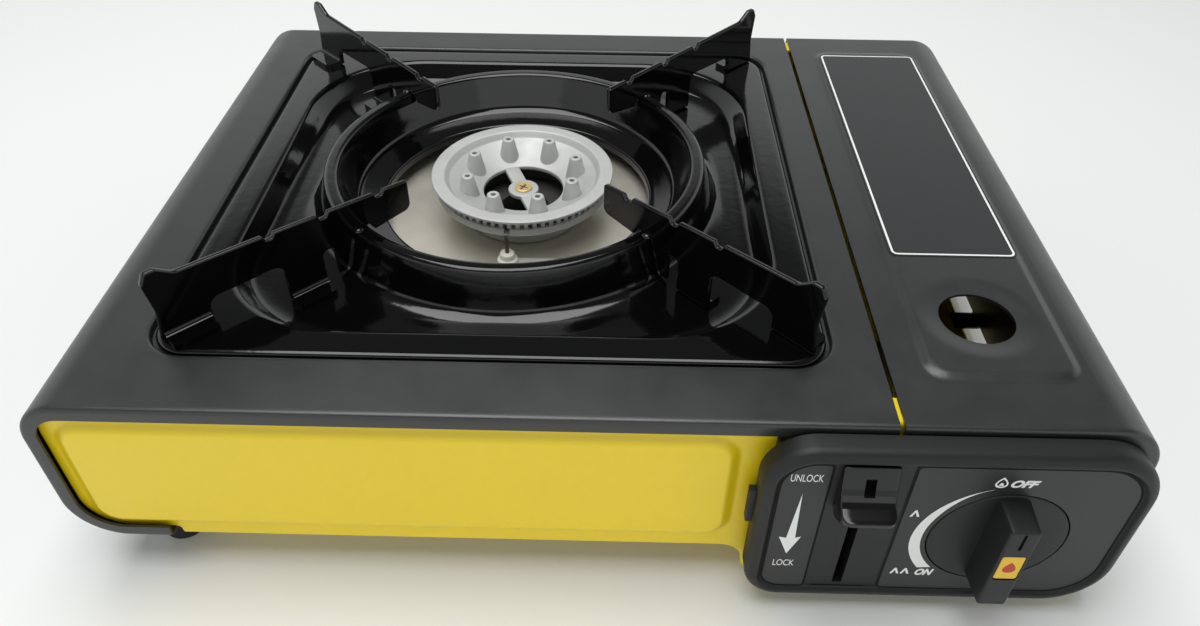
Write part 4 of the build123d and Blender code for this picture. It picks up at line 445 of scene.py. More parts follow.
class Skin:
    """Collects the patches of one piece, in millimetres, and turns them into a mesh object.

    Points of neighbouring patches that lie closer than MERGE become one.
    """

    MERGE = 0.004

    def __init__(self) -> None:
        """Start with no patches."""
        self._points: list[Array] = []
        self._faces: list[list[int]] = []
        self._count = 0

    def patch(self, points: Array, faces: Array) -> None:
        """Keep a patch.

        Args:
            points: array (n, 3).
            faces: index array (m, 3) or (m, 4) into these points.
        """
        self._faces += (faces + self._count).tolist()
        self._points.append(points)
        self._count += len(points)

    def grid(
        self, points: Array, wrap: bool = False, keep: Optional[Array] = None, flip: bool = False
    ) -> None:
        """Add a grid of points as quads.

        Args:
            points: array (rows, columns, 3).
            wrap: join the last column to the first.
            keep: which quads to keep, as (rows - 1, columns - 1) truth values.
            flip: turn the faces over.
        """
        rows, columns = points.shape[:2]
        index = np.arange(rows * columns).reshape(rows, columns)
        if wrap:
            index = np.column_stack([index, index[:, 0]])
        quads = np.stack([index[:-1, :-1], index[:-1, 1:], index[1:, 1:], index[1:, :-1]], axis=-1)
        quads = quads.reshape(-1, 4) if keep is None else quads[keep]
        self.patch(points.reshape(-1, 3), quads[:, ::-1] if flip else quads)

    def plate(self, loops: Sequence[Array], place: Place, flip: bool = False, guard: float = 0.0) -> None:
        """Add a flat region: the first loop less the others.

        With a guard, a second loop runs beside each border, so that the smooth shading of a bend
        that ends there stays in the strip between the two.

        Args:
            loops: closed outlines, each (n, 2), anticlockwise.
            place: puts flat points into space.
            flip: turn the faces over.
            guard: width of the strip.
        """
        if guard:
            rings = [beside(loop, -guard if k else guard) for k, loop in enumerate(loops)]
            for k, pair in enumerate(zip(loops, rings)):
                self.grid(np.stack([place(loop) for loop in pair]), wrap=True, flip=flip != (k > 0))
            loops = rings
        starts = np.cumsum([0] + [len(loop) for loop in loops])
        bounds = [list(range(start, stop)) for start, stop in zip(starts[:-1], starts[1:])]
        flat = np.concatenate(loops)
        corners = [Vector(point) for point in flat.tolist()]
        spots, _, faces, sources, *_ = delaunay_2d_cdt(corners, [], bounds, 2, 1e-7)
        exact = [flat[source[0]] if source else spot[:] for spot, source in zip(spots, sources)]
        points = place(np.array(exact))
        triangles = np.array(faces)
        self.patch(points, triangles[:, ::-1] if flip else triangles)

    def stations(self, outline: Outline, pairs: Array, place: Callable[[float], Place],
                 flip: bool = False) -> None:
        """Add a skin through copies of an outline.

        Args:
            outline: the outline; a closed one gives a closed band.
            pairs: (inset, level) for each copy.
            place: gives, for a level, what puts flat points into space.
            flip: turn the faces over.
        """
        rows = np.stack([place(height)(outline.trace(inset)) for inset, height in pairs])
        self.grid(rows, wrap=outline.closed, flip=flip)

    def spun(
        self, profile: Array, origin: Sequence[float], axis: Sequence[float], count: int = 96
    ) -> None:
        """Add a profile turned round an axis.

        Each point is the origin, plus its radius times the turning unit vector, plus its advance
        times the axis. A profile with its solid to the left gets faces that look outwards.

        Args:
            profile: (radius, advance) points.
            origin: point on the axis.
            axis: direction of the axis.
            count: steps round the axis.
        """
        along = np.array(axis, float) / np.linalg.norm(axis)
        helper = np.array([1.0, 0.0, 0.0]) if abs(along[2]) > 0.9 else np.array([0.0, 0.0, 1.0])
        side = np.cross(helper, along)
        side /= np.linalg.norm(side)
        angle = np.linspace(0.0, 2 * math.pi, count, endpoint=False)[:, None]
        ring = np.cos(angle) * side + np.sin(angle) * np.cross(along, side)
        rows = np.array(origin, float) + profile[:, None, :1] * ring + profile[:, None, 1:] * along
        self.grid(rows, wrap=True)

    def turned(self, profile: Array, x: float, y: float, count: int = 128) -> None:
        """Add a profile of (radius, height) points turned round a vertical axis at x, y."""
        self.spun(profile, (x, y, 0.0), (0.0, 0.0, 1.0), count)

    def block(self, low: Sequence[float], high: Sequence[float], radius: float = 0.4) -> None:
        """Add a box whose edges along the depth and round its front are rounded.

        Args:
            low, high: opposite corners.
            radius: radius of the edges.
        """
        side = rounded_box(low[0], low[2], high[0], high[2], radius * 1.01, 4, 2)
        turn = np.linspace(0.0, math.pi / 2, 5)
        over = radius * np.stack([1.0 - np.cos(turn), 1.0 - np.sin(turn)], axis=1) + [0.0, low[1]]
        pairs = np.concatenate([[[0.0, high[1]]], over])
        self.stations(side, pairs, upright)
        self.plate([side.trace(radius)], upright(low[1]))
        self.plate([side.trace(0.0)], upright(high[1]), flip=True)

    def slab(self, middle: Array, thickness: float) -> None:
        """Add a sheet of even thickness round a middle surface, closed at its edges.

        Args:
            middle: array (rows, columns, 3).
            thickness: thickness of the sheet.
        """
        along = np.gradient(middle, axis=0)
        across = np.gradient(middle, axis=1)
        normal = np.cross(across, along)
        normal *= thickness / 2 / np.linalg.norm(normal, axis=-1, keepdims=True)
        upper, lower = middle + normal, middle - normal
        self.grid(upper)
        self.grid(lower, flip=True)
        ends = ((np.s_[0], True), (np.s_[-1], False), (np.s_[:, 0], False), (np.s_[:, -1], True))
        for side, turn in ends:
            self.grid(np.stack([upper[side], lower[side]]), flip=turn)

    def to_object(
        self, name: str, finish: Finish, body: Body, replaced: Sequence[str] = (),
        sharp: float = 32.0,
    ) -> bpy.types.Object:
        """Build the mesh object and hang it on its body.

        Args:
            name: name of the object.
            finish: finish of the whole piece.
            body: body it moves with.
            replaced: nodes it is shown for.
            sharp: edges that turn by more degrees than this stay sharp.

        Returns:
            The object.
        """
        points = np.concatenate(self._points)
        cells = np.round(points / self.MERGE)
        _, first, merged = np.unique(cells, axis=0, return_index=True, return_inverse=True)
        merged = merged.ravel()
        corners = [merged[face].tolist() for face in self._faces]
        mesh = bpy.data.meshes.new(name)
        faces = [list(dict.fromkeys(face)) for face in corners]
        mesh.from_pydata((points[first] * MM).tolist(), [], faces)
        mesh.validate()
        mesh.shade_smooth()
        mesh.set_sharp_from_angle(angle=math.radians(sharp))
        self._split_free_edges(mesh)
        mesh.materials.append(finish.material())
        made = bpy.data.objects.new(name, mesh)
        bpy.context.scene.collection.objects.link(made)
        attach(made, body.value)
        if replaced:
            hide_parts(*replaced)
        log.info("built %s with %d faces", name, len(mesh.polygons))
        return made

    @staticmethod
    def _split_free_edges(mesh: bpy.types.Mesh) -> None:
        """Mark edges of a single face as sharp, so that a sheet's rim doesn't shade its faces.

        Args:
            mesh: the mesh.
        """
        used = np.empty(len(mesh.loops), np.int32)
        mesh.loops.foreach_get("edge_index", used)
        marks = np.empty(len(mesh.edges), bool)
        mesh.edges.foreach_get("use_edge_sharp", marks)
        marks |= np.bincount(used, minlength=len(mesh.edges)) == 1
        mesh.edges.foreach_set("use_edge_sharp", marks)


def thicken(piece: bpy.types.Object, sheet_mm: float) -> None:
    """Give an open skin its sheet thickness, inwards.

    Args:
        piece: the object.
        sheet_mm: thickness.
    """
    wall = piece.modifiers.new("sheet", "SOLIDIFY")
    wall.thickness = sheet_mm * MM
    wall.offset = -1.0


@dataclass(frozen=True)
class BentSheet:
    """Sizes of a bent sheet edge that the cover and the lid share."""

    sheet: float = 1.0
    lip: float = 5.0
    bend: float = 1.6

    def front(self, depth: float) -> Array:
        """Stations from the lip's free edge, over the bend, to this far behind the front.

        Args:
            depth: distance of the last station from the front.

        Returns:
            (inset, y) pairs.
        """
        bend = arc_steps(self.bend)
        bend[:, 1] += FRONT
        lip = np.array([[self.lip, FRONT], [(self.lip + self.bend) / 2, FRONT]])
        top = np.array([[0.0, FRONT + self.bend + 1.0], [0.0, FRONT + depth]])
        return np.concatenate([lip, bend, top])

    def rear(self, depth: float) -> Array:
        """Stations at the rear, from this far before the end to the lip's free edge.

        Args:
            depth: distance of the first station from the rear.

        Returns:
            (inset, y) pairs.
        """
        pairs = self.front(depth)[::-1].copy()
        pairs[:, 1] = FRONT + REAR - pairs[:, 1]
        return pairs


@dataclass(frozen=True)
class TopCover:
    """Black sheet over the burner side, with the pressed seat of the tray."""

    edge: BentSheet = BentSheet()
    split_x: float = 91.5
    top_radius: float = 14.0
    low_radius: float = 18.0
    return_z: float = 19.7
    return_x: float = -140.0
    strip: float = 14.0
    seat_half: float = 110.25
    seat_radius: float = 14.5
    seat_z: float = 78.7
    seat_round: float = 1.3
    ledge_half: float = 99.0
    ledge_radius: float = 48.0

    def build(self) -> bpy.types.Object:
        """Build the cover.

        The shell is the front view of the sheet moved along the depth. Its lips and bends are
        inward moves of the same view. The flat top is cut out round the seat.

        Returns:
            The object.
        """
        path = Outline(
            (
                (self.split_x, TOP),
                (-HALF_WIDTH, TOP),
                (-HALF_WIDTH, self.return_z),
                (self.return_x, self.return_z),
            ),
            (0.0, self.top_radius, self.low_radius, 0.0),
            closed=False,
            arc=14,
            line=24,
        )
        skin = Skin()
        skin.stations(path, self.edge.front(self.strip), upright, flip=True)
        skin.stations(path, self.edge.rear(self.strip), upright, flip=True)
        view = path.trace()
        side = view[path.line :]
        depth = np.linspace(FRONT + self.strip, REAR - self.strip, path.line + 1)
        rows = np.stack([upright(y)(side) for y in depth])
        skin.grid(rows, flip=True)
        flat_left = side[0, 0]
        rim = self._square(self.seat_half, self.seat_radius)
        outer = rectangle(flat_left, depth[0], self.split_x, depth[-1], path.line)
        skin.plate([outer, rim.trace(-self.seat_round)], level(TOP), guard=1.0)
        quarter = arc_steps(self.seat_round)
        bend = np.stack([-quarter[:, 0], TOP - quarter[:, 1]], axis=1)
        wall = np.array([[0.0, self.seat_z + 0.8], [0.25, self.seat_z + 0.25], [0.8, self.seat_z]])
        skin.stations(rim, np.concatenate([bend, wall]), level)
        ledge = self._square(self.ledge_half, self.ledge_radius)
        skin.plate([rim.trace(0.8), ledge.trace()], level(self.seat_z), guard=1.0)
        piece = skin.to_object("cover_sheet", POWDER, Body.STOVE, ["top_cover"])
        thicken(piece, self.edge.sheet)
        return piece

    def _square(self, half: float, radius: float) -> Outline:
        """Rounded square about the tray's centre."""
        x, y = TRAY_CENTRE
        return rounded_box(x - half, y - half, x + half, y + half, radius, 12, 30)


@dataclass(frozen=True)
class Lid:
    """Black sheet over the cartridge bay, with a raised pad and a dished finger hole."""

    edge: BentSheet = BentSheet()
    split_x: float = 93.1
    corner_radius: float = 16.0
    low_z: float = 10.0
    strip: float = 12.0
    pad: tuple[float, float, float, float] = (103.5, -103.0, 153.5, 125.5)
    pad_radius: float = 8.0
    pad_raise: float = 1.2
    pad_slope: float = 3.4
    finger: tuple[float, float] = (127.4, -73.5)
    finger_radius: float = 12.4
    dish_radius: float = 21.0
    dish_depth: float = 1.0
    dish_lip: float = 1.5
    patch_half: float = 21.5
    patch_steps: int = 24
    tab: tuple[float, float, float, float] = (161.0, 5.0, 172.0, 15.0)
    tab_z: float = 8.0

    def height(self, x: Array, y: Array) -> Array:
        """Height of the lid's top at plan points.

        The pad rises with a smooth step of the distance inside its rounded rectangle, and the
        dish sinks with a smooth step of the distance inside its circle.

        Args:
            x, y: plan coordinates.

        Returns:
            Heights of the outer face.
        """
        left, front, right, rear = self.pad
        away_x = np.abs(x - (left + right) / 2) - (right - left) / 2 + self.pad_radius
        away_y = np.abs(y - (front + rear) / 2) - (rear - front) / 2 + self.pad_radius
        outside = np.hypot(np.maximum(away_x, 0), np.maximum(away_y, 0))
        inside = self.pad_radius - outside - np.minimum(np.maximum(away_x, away_y), 0)
        radius = np.hypot(x - self.finger[0], y - self.finger[1])
        sink = (self.dish_radius - radius) / (self.dish_radius - self.finger_radius + self.dish_lip)
        pad = self.pad_raise * smooth_step(inside / self.pad_slope)
        return TOP + pad - self.dish_depth * smooth_step(sink)

    def build(self) -> bpy.types.Object:
        """Build the lid.

        Returns:
            The object.
        """
        path = Outline(
            ((HALF_WIDTH, self.low_z), (HALF_WIDTH, TOP), (self.split_x, TOP)),
            (0.0, self.corner_radius, 0.0),
            closed=False,
            arc=14,
            line=16,
        )
        skin = Skin()
        skin.stations(path, self.edge.front(self.strip), upright, flip=True)
        skin.stations(path, self.edge.rear(self.strip), upright, flip=True)
        side = path.trace()[: path.line + path.arc + 1]
        depth = np.linspace(FRONT + self.strip, REAR - self.strip, 24)
        skin.grid(np.stack([upright(y)(side) for y in depth]), flip=True)
        self._top(skin, side[-1, 0], depth[0], depth[-1])
        self._tab(skin)
        piece = skin.to_object("lid_sheet", POWDER, Body.LID, ["lid"])
        thicken(piece, self.edge.sheet)
        return piece

    def _top(self, skin: Skin, right: float, front: float, rear: float) -> None:
        """Add the flat top with pad, dish and hole.

        A grid in plan carries the height. The square round the hole is left out and filled with
        rays from the hole's circle to the square's border.

        Args:
            skin: skin to add to.
            right: where the bent corner starts.
            front, rear: ends of the grid.
        """
        half, steps = self.patch_half, self.patch_steps
        fx, fy = self.finger
        across = np.linspace(-half, half, steps + 1)
        x = np.concatenate([np.linspace(self.split_x, fx - half, 25)[:-1], fx + across,
                            np.linspace(fx + half, right, 17)[1:]])
        y = np.concatenate([np.linspace(front, fy - half, 23)[:-1], fy + across,
                            np.linspace(fy + half, rear, 171)[1:]])
        plan_x, plan_y = np.meshgrid(x, y)
        middle_x = np.abs((x[1:] + x[:-1]) / 2 - fx)[None, :]
        middle_y = np.abs((y[1:] + y[:-1]) / 2 - fy)[:, None]
        keep = (middle_x > half) | (middle_y > half)
        skin.grid(np.stack([plan_x, plan_y, self.height(plan_x, plan_y)], axis=-1), keep=keep)
        run = across[:-1]
        end = np.full(steps, half)
        border = np.concatenate(
            [
                np.stack(pair, axis=1)
                for pair in ((end, run), (-run, end), (-end, -run), (run, -end))
            ]
        )
        ring = border * (self.finger_radius / np.linalg.norm(border, axis=1, keepdims=True))
        share = np.linspace(0.0, 1.0, 21)[:, None, None]
        rays = ring + share * (border - ring)
        ray_x, ray_y = rays[..., 0] + fx, rays[..., 1] + fy
        skin.grid(np.stack([ray_x, ray_y, self.height(ray_x, ray_y)], axis=-1), wrap=True, flip=True)

    def _tab(self, skin: Skin) -> None:
        """Add the stop tab that reaches in over the chassis floor.

        Args:
            skin: skin to add to.
        """
        left, front, right, rear = self.tab
        profile = np.array([[right, self.low_z], [right, self.tab_z + 0.6], [right - 0.6, self.tab_z],
                            [left, self.tab_z]])
        skin.grid(np.stack([upright(y)(profile) for y in (front, rear)]))


@dataclass(frozen=True)
class Tray:
    """Enamelled drip tray: a square basin with a raised ring round the burner."""

    sheet: float = 0.9
    profile: Outline = Outline(
        (
            (53.6, 68.6), (53.6, 72.1), (64.2, 74.6), (69.6, 89.5), (74.4, 89.5),
            (79.6, 73.0), (91.6, 73.0), (97.0, 81.5), (108.75, 81.5), (108.75, 78.8),
        ),
        (0.0, 1.3, 4.5, 1.9, 1.9, 5.0, 5.5, 2.6, 1.7, 0.0),
        closed=False,
        arc=8,
        line=4,
    )
    corner: tuple[tuple[float, float], ...] = (
        (0.0, 0.0), (80.0, 80.0), (91.0, 42.0), (97.0, 46.0), (99.0, 46.0), (106.0, 16.0), (108.75, 13.0),
    )

    def build(self) -> bpy.types.Object:
        """Build the tray.

        Every point of the profile is a rounded square round the tray's centre. Its corner radius
        follows its half width, so that the inner rings are circles and the rim is nearly square.

        Returns:
            The object.
        """
        angle = np.unique(
            np.concatenate(
                [np.linspace(0, 360, 360, endpoint=False)]
                + [np.linspace(c - 9, c + 9, 73) for c in (45, 135, 225, 315)]
            )
        )
        points = self.profile.trace()
        half, height = points[:, :1], points[:, 1:]
        radius = np.interp(half, *np.array(self.corner).T)
        fold = np.radians(np.abs(((angle + 45) % 90) - 45))[None, :]
        flat = half / np.cos(fold)
        inner = half - radius
        lean = inner * (np.cos(fold) + np.sin(fold))
        bowed = lean + np.sqrt(np.maximum(lean ** 2 - 2 * inner ** 2 + radius ** 2, 0.0))
        reach = np.where(half * np.tan(fold) <= inner, flat, bowed)
        turn = np.radians(angle)[None, :]
        x = TRAY_CENTRE[0] + reach * np.cos(turn)
        y = TRAY_CENTRE[1] + reach * np.sin(turn)
        rows = np.stack([x, y, np.broadcast_to(height, x.shape)], axis=-1)
        skin = Skin()
        skin.grid(rows, wrap=True, flip=True)
        piece = skin.to_object("tray_enamel", ENAMEL, Body.TRAY, ["tray"], sharp=60.0)
        thicken(piece, self.sheet)
        return piece


@dataclass(frozen=True)
class PanSupport:
    """One enamelled arm: a sheet on edge with notches, a horn, arches and bent feet."""

    name: str
    angle: float
    sheet: float = 2.0
    edge: float = 0.55
    foot_reach: float = 8.0
    foot_bend: float = 2.6
    outline: Outline = Outline(
        (
            (51.0, 88.2), (66.6, 86.4), (68.6, 89.5), (75.4, 89.5), (80.5, 75.0), (83.6, 75.0),
            (83.6, 86.8),
            (88.3, 86.8), (88.3, 73.6), (103.0, 73.6), (103.0, 89.2), (129.6, 89.2), (129.6, 82.1),
            (147.0, 81.6), (145.6, 93.0), (147.0, 104.6), (145.2, 108.2), (141.6, 108.2), (136.4, 104.4),
            (107.4, 103.0), (106.2, 101.1), (104.2, 100.9), (103.0, 102.7), (87.6, 101.9), (86.4, 100.0),
            (84.2, 99.8), (83.0, 101.7), (65.4, 100.7), (64.2, 98.9), (62.0, 98.7), (61.0, 100.5),
            (51.0, 100.0),
        ),
        (
            3.2, 1.0, 0.8, 0.8, 1.0, 0.5, 2.0,
            2.0, 0.6, 0.6, 4.0, 3.6, 0.6,
            0.8, 9.0, 1.2, 1.5, 1.5, 4.0,
            0.5, 0.6, 0.8, 0.4, 0.5, 0.6,
            0.8, 0.4, 0.5, 0.6, 0.8, 0.4, 1.0,
        ),
        closed=True,
        arc=6,
        line=3,
    )
    feet: tuple[Triple, ...] = ((130.2, 145.8, 82.5), (88.6, 102.7, 74.0))
    weld: Triple = (73.4, 89.0, 1.9)

    def _place(self, aside: float) -> Place:
        """Place flat points, drawn in radius and height, this far to the arm's clockwise side."""
        c, s = math.cos(math.radians(self.angle)), math.sin(math.radians(self.angle))
        return lambda flat: np.column_stack(
            [
                TRAY_CENTRE[0] + flat[:, 0] * c + aside * s,
                TRAY_CENTRE[1] + flat[:, 0] * s - aside * c,
                flat[:, 1],
            ]
        )

    def build(self) -> bpy.types.Object:
        """Build the arm with its feet and weld.

        Returns:
            The object.
        """
        skin = Skin()
        half = self.sheet / 2
        quarter = arc_steps(self.edge, 3)
        front = np.stack([quarter[:, 0], half - quarter[:, 1]], axis=1)
        back = np.stack([quarter[::-1, 0], quarter[::-1, 1] - half], axis=1)
        skin.stations(self.outline, np.concatenate([front, back]), self._place, flip=True)
        face = self.outline.trace(self.edge)
        skin.plate([face], self._place(half), guard=0.25)
        skin.plate([face], self._place(-half), flip=True, guard=0.25)
        for start, end, height in self.feet:
            skin.slab(self._foot(start, end, height), self.sheet)
        self._weld(skin)
        name = f"arm_{self.name}"
        nodes = [f"pan_support_{self.name}"]
        return skin.to_object(name, ENAMEL, Body.TRAY, nodes, sharp=50.0)

    def _foot(self, start: float, end: float, height: float) -> Array:
        """Middle surface of a bent foot.

        The section runs down the arm, round the bend and out to the anticlockwise side. The free
        end's corners are rounded by drawing in the radius with a circular law.

        Args:
            start, end: radii of the foot's two ends.
            height: height of its middle surface.

        Returns:
            Array (rows, columns, 3).
        """
        turn = np.linspace(0.0, math.pi / 2, 9)
        bend = self.foot_bend
        drop = np.array([[0.0, height + bend + 1.5]])
        round_ = np.stack([bend * (1 - np.cos(turn)), height + bend * (1 - np.sin(turn))], axis=1)
        out = np.linspace(bend, self.foot_reach, 9)[1:]
        path = np.concatenate([drop, round_, np.stack([out, np.full(len(out), height)], axis=1)])
        corner = 2.2
        past = np.clip((path[:, 0] - self.foot_reach + corner) / corner, 0.0, 0.98)
        draw = corner * (1 - np.sqrt(1 - past ** 2))
        share = np.linspace(0.0, 1.0, 12)[:, None]
        radius = (start + draw) + share * ((end - draw) - (start + draw))
        c, s = math.cos(math.radians(self.angle)), math.sin(math.radians(self.angle))
        aside = -path[:, 0][None, :]
        x = TRAY_CENTRE[0] + radius * c + aside * s
        y = TRAY_CENTRE[1] + radius * s - aside * c
        z = np.broadcast_to(path[:, 1][None, :], x.shape)
        return np.stack([x, y, z], axis=-1)

    def _weld(self, skin: Skin) -> None:
        """Add the flat weld bead where the arm crosses the ring.

        Args:
            skin: skin to add to.
        """
        radius, height, size = self.weld
        c, s = math.cos(math.radians(self.angle)), math.sin(math.radians(self.angle))
        rise = np.linspace(0.0, math.pi / 2, 8)
        dome = np.stack([size * np.cos(rise), height + 0.7 * size * np.sin(rise)], axis=1)
        for aside in (-self.sheet / 2, self.sheet / 2):
            x = TRAY_CENTRE[0] + radius * c + aside * s
            y = TRAY_CENTRE[1] + radius * s - aside * c
            skin.turned(dome, x, y, 24)


@dataclass(frozen=True)
class Burner:
    """Cast burner with flame slots, posts, a hub on spokes and a brass screw."""

    shell: Outline = Outline(
        (
            (16.2, 72.0), (29.6, 78.0), (31.6, 79.3), (31.6, 81.1), (36.5, 81.1), (36.5, 82.3),
            (31.3, 82.3),
            (29.6, 79.8), (16.2, 73.8),
        ),
        (0.4, 1.0, 0.3, 0.3, 0.35, 0.5, 0.9, 1.4, 0.6),
        closed=True, arc=6, line=3,
    )
    base: Outline = Outline(
        (
            (0.02, 34.0), (12.0, 34.0), (12.0, 63.0), (24.0, 63.0), (24.0, 68.0), (34.6, 74.6),
            (34.6, 77.4),
            (32.6, 77.4),
        ),
        (0.0, 0.5, 0.5, 1.0, 1.6, 0.7, 0.5, 0.0),
        closed=False, arc=5, line=4,
    )
    base_wall: float = 2.0
    inside: tuple[Outline, ...] = (
        Outline(
            ((16.4, 71.85), (29.6, 77.75), (31.45, 79.1), (31.45, 81.0)),
            (0.0, 0.5, 0.2, 0.0), False, 3, 4,
        ),
        Outline(
            (
                (0.02, 36.1), (9.9, 36.1), (9.9, 65.1), (21.9, 65.1), (21.9, 69.2), (32.0, 75.7),
                (32.0, 77.2),
            ),
            (0.0, 0.3, 0.3, 0.5, 0.5, 0.3, 0.0), False, 3, 4,
        ),
    )
    socket: Outline = Outline(
        ((8.0, 11.0), (10.0, 11.0), (10.0, 26.0), (8.05, 26.0), (8.05, 16.0)), (0.0, 0.2, 0.5, 0.2, 0.0),
        closed=False, arc=4, line=3,
    )
    socket_z: float = 44.0
    socket_axis: Triple = (0.6171, -0.7869, 0.0)
    slots: int = 66
    skirt_radius: float = 33.8
    skirt_sheet: float = 2.2
    skirt_rows: tuple[float, ...] = (77.4, 80.4, 81.2)
    posts: int = 8
    post_angle: float = 20.0
    post_ring: float = 22.5
    post: Outline = Outline(
        ((4.4, 74.2), (2.35, 84.1), (1.0, 84.1), (1.0, 81.1), (0.02, 81.1)),
        (0.0, 0.5, 0.2, 0.1, 0.0),
        closed=False, arc=4, line=3,
    )
    hub_radius: float = 6.2
    hub_sheet: float = 1.8
    spoke_angle: float = 112.0
    spoke_width: float = 6.0
    spoke_reach: float = 17.1
    spoke_edge: float = 0.5
    spoke_drop: float = 0.15
    floor_z: float = 73.8
    screw_radius: float = 3.6
    screw_height: float = 0.8
    screw_turn: float = 0.5
    cross_half: float = 0.6
    cross_reach: float = 2.3
    cross_depth: float = 0.55
    mark_half: float = 0.4
    mark_reach: float = 2.0
    mark_lift: float = 0.32
    notch_x: float = -3.5
    notch_half: float = 1.2
    notch_z: float = 75.4

    def build(self) -> None:
        """Build head, skirt, base, screw and a skin inside the chamber, darkened as painted shade."""
        x, y = BURNER_CENTRE
        head = Skin()
        head.turned(np.concatenate([self.shell.trace(), self.shell.trace()[:1]]), x, y, 192)
        for k in range(self.posts):
            turn = math.radians(self.post_angle + 360.0 * k / self.posts)
            along, across = self.post_ring * math.cos(turn), self.post_ring * math.sin(turn)
            head.turned(self.post.trace(), x + along, y + across, 32)
        self._hub(head)
        head.to_object("burner_casting", CAST, Body.STOVE, ["burner_head"])
        self._skirt()
        self._base()
        self._screw()
        # Painted shade: a dark skin inside the head and the base, where the hollow lies in shade.
        chamber = Skin()
        for profile in self.inside:
            chamber.turned(profile.trace(), x, y, 96)
        chamber.to_object("burner_chamber", CAST_PAINTED_SHADE, Body.STOVE)

    def _hub(self, skin: Skin) -> None:
        """Add the hub and its two spokes.

        Args:
            skin: skin to add to.
        """
        x, y = BURNER_CENTRE
        top, under = self.floor_z, self.floor_z - self.hub_sheet
        hub = Outline(((0.02, under), (self.hub_radius, under), (self.hub_radius, top), (0.02, top)),
                      (0.0, 0.2, 0.5, 0.0), closed=False, arc=5, line=3)
        skin.turned(hub.trace(), x, y, 64)
        turn = math.radians(self.spoke_angle)
        c, s = math.cos(turn), math.sin(turn)
        reach, half = self.spoke_reach, self.spoke_width / 2
        bar = rounded_box(-reach, -half, reach, half, 0.3, 2, 12)

        def lay(z: float) -> Place:
            """Place points along the spokes at height z."""
            return lambda flat: np.column_stack(
                [
                    x + flat[:, 0] * c - flat[:, 1] * s,
                    y + flat[:, 0] * s + flat[:, 1] * c,
                    np.full(len(flat), z),
                ]
            )

        edge = arc_steps(self.spoke_edge, 3)[::-1]
        crest = top - self.spoke_drop
        over = np.stack([edge[:, 0], crest - edge[:, 1]], axis=1)
        skin.stations(bar, np.concatenate([[[0.0, under]], over]), lay)
        skin.plate([bar.trace(self.spoke_edge)], lay(crest))
        skin.plate([bar.trace(0.0)], lay(under), flip=True)

    def _skirt(self) -> None:
        """Build the slotted ring: a cylinder whose grid leaves out half of each pitch."""
        x, y = BURNER_CENTRE
        columns = self.slots * 6
        ring = circle(x, y, self.skirt_radius, columns)
        rows = np.stack([level(z)(ring) for z in self.skirt_rows])
        keep = np.ones((len(self.skirt_rows) - 1, columns), bool)
        keep[0] = np.arange(columns) % 6 >= 3
        skin = Skin()
        skin.grid(rows, wrap=True, keep=keep)
        piece = skin.to_object("burner_skirt", CAST, Body.STOVE)
        thicken(piece, self.skirt_sheet)

    def _base(self) -> None:
        """Build the base with its neck, the tube's socket and the notch for the spark rod."""
        x, y = BURNER_CENTRE
        profile = self.base.trace()
        count = 288
        angle = np.linspace(0.0, 2 * math.pi, count, endpoint=False)
        radius, height = profile[:, :1], profile[:, 1:]
        across, along = radius * np.cos(angle), radius * np.sin(angle)
        rows = np.stack([x + across, y + along, np.repeat(height, count, axis=1)], axis=-1)
        beside = np.abs(across - self.notch_x) < self.notch_half
        keep = ~(beside & (along < 0.0) & (height > self.notch_z))[:-1]
        skin = Skin()
        skin.grid(rows, wrap=True, keep=keep)
        skin.spun(self.socket.trace(), (x, y, self.socket_z), self.socket_axis, 48)
        piece = skin.to_object("burner_base_casting", CAST, Body.STOVE, ["burner_base"])
        thicken(piece, self.base_wall)

    def _screw(self) -> None:
        """Build the brass screw: a low dome with a cross recess, and a dark cross of painted shade inside
        the recess.

        The dome falls with the square of the radius. The recess sinks with smooth steps of the
        distance to the two arms of the cross.
        """
        x, y = BURNER_CENTRE
        size = self.screw_radius
        radius = np.concatenate([np.linspace(0.001, 0.94, 40), [0.98, 1.0, 1.0]])[:, None] * size
        angle = np.linspace(0.0, 2 * math.pi, 160, endpoint=False)[None, :]
        turned = angle + self.screw_turn
        px, py = radius * np.cos(turned), radius * np.sin(turned)
        arm = np.minimum(np.abs(px), np.abs(py))
        cross = smooth_step((self.cross_half - arm) / 0.25)
        cross *= smooth_step((self.cross_reach - radius) / 0.3)
        share = np.concatenate([np.full(40, 1.0), [0.9, 0.7, 0.0]])[:, None]
        lift = self.screw_height * share * (1.0 - 0.15 * (radius / size) ** 2)
        z = self.floor_z + lift - self.cross_depth * cross
        skin = Skin()
        rows = np.stack([x + radius * np.cos(angle), y + radius * np.sin(angle), z], axis=-1)
        skin.grid(rows, wrap=True, flip=True)
        skin.to_object("burner_screw_brass", BRASS, Body.STOVE, ["burner_screw"], sharp=60.0)
        # Painted shade: a dark cross just above the recess floor, standing in for the shade inside the
        # cross recess.
        half, reach = self.mark_half, self.mark_reach
        quarter = np.array([(half, half), (half, reach), (-half, reach)])
        turns = np.radians([0.0, 90.0, 180.0, 270.0]) - self.screw_turn
        spin = np.stack([np.cos(turns), np.sin(turns), -np.sin(turns), np.cos(turns)], axis=1)
        spin = spin.reshape(4, 2, 2)
        mark = Skin()
        mark.plate([(quarter @ spin).reshape(-1, 2) + [x, y]], level(self.floor_z + self.mark_lift))
        mark.to_object("burner_screw_recess", CAST_PAINTED_SHADE, Body.STOVE)


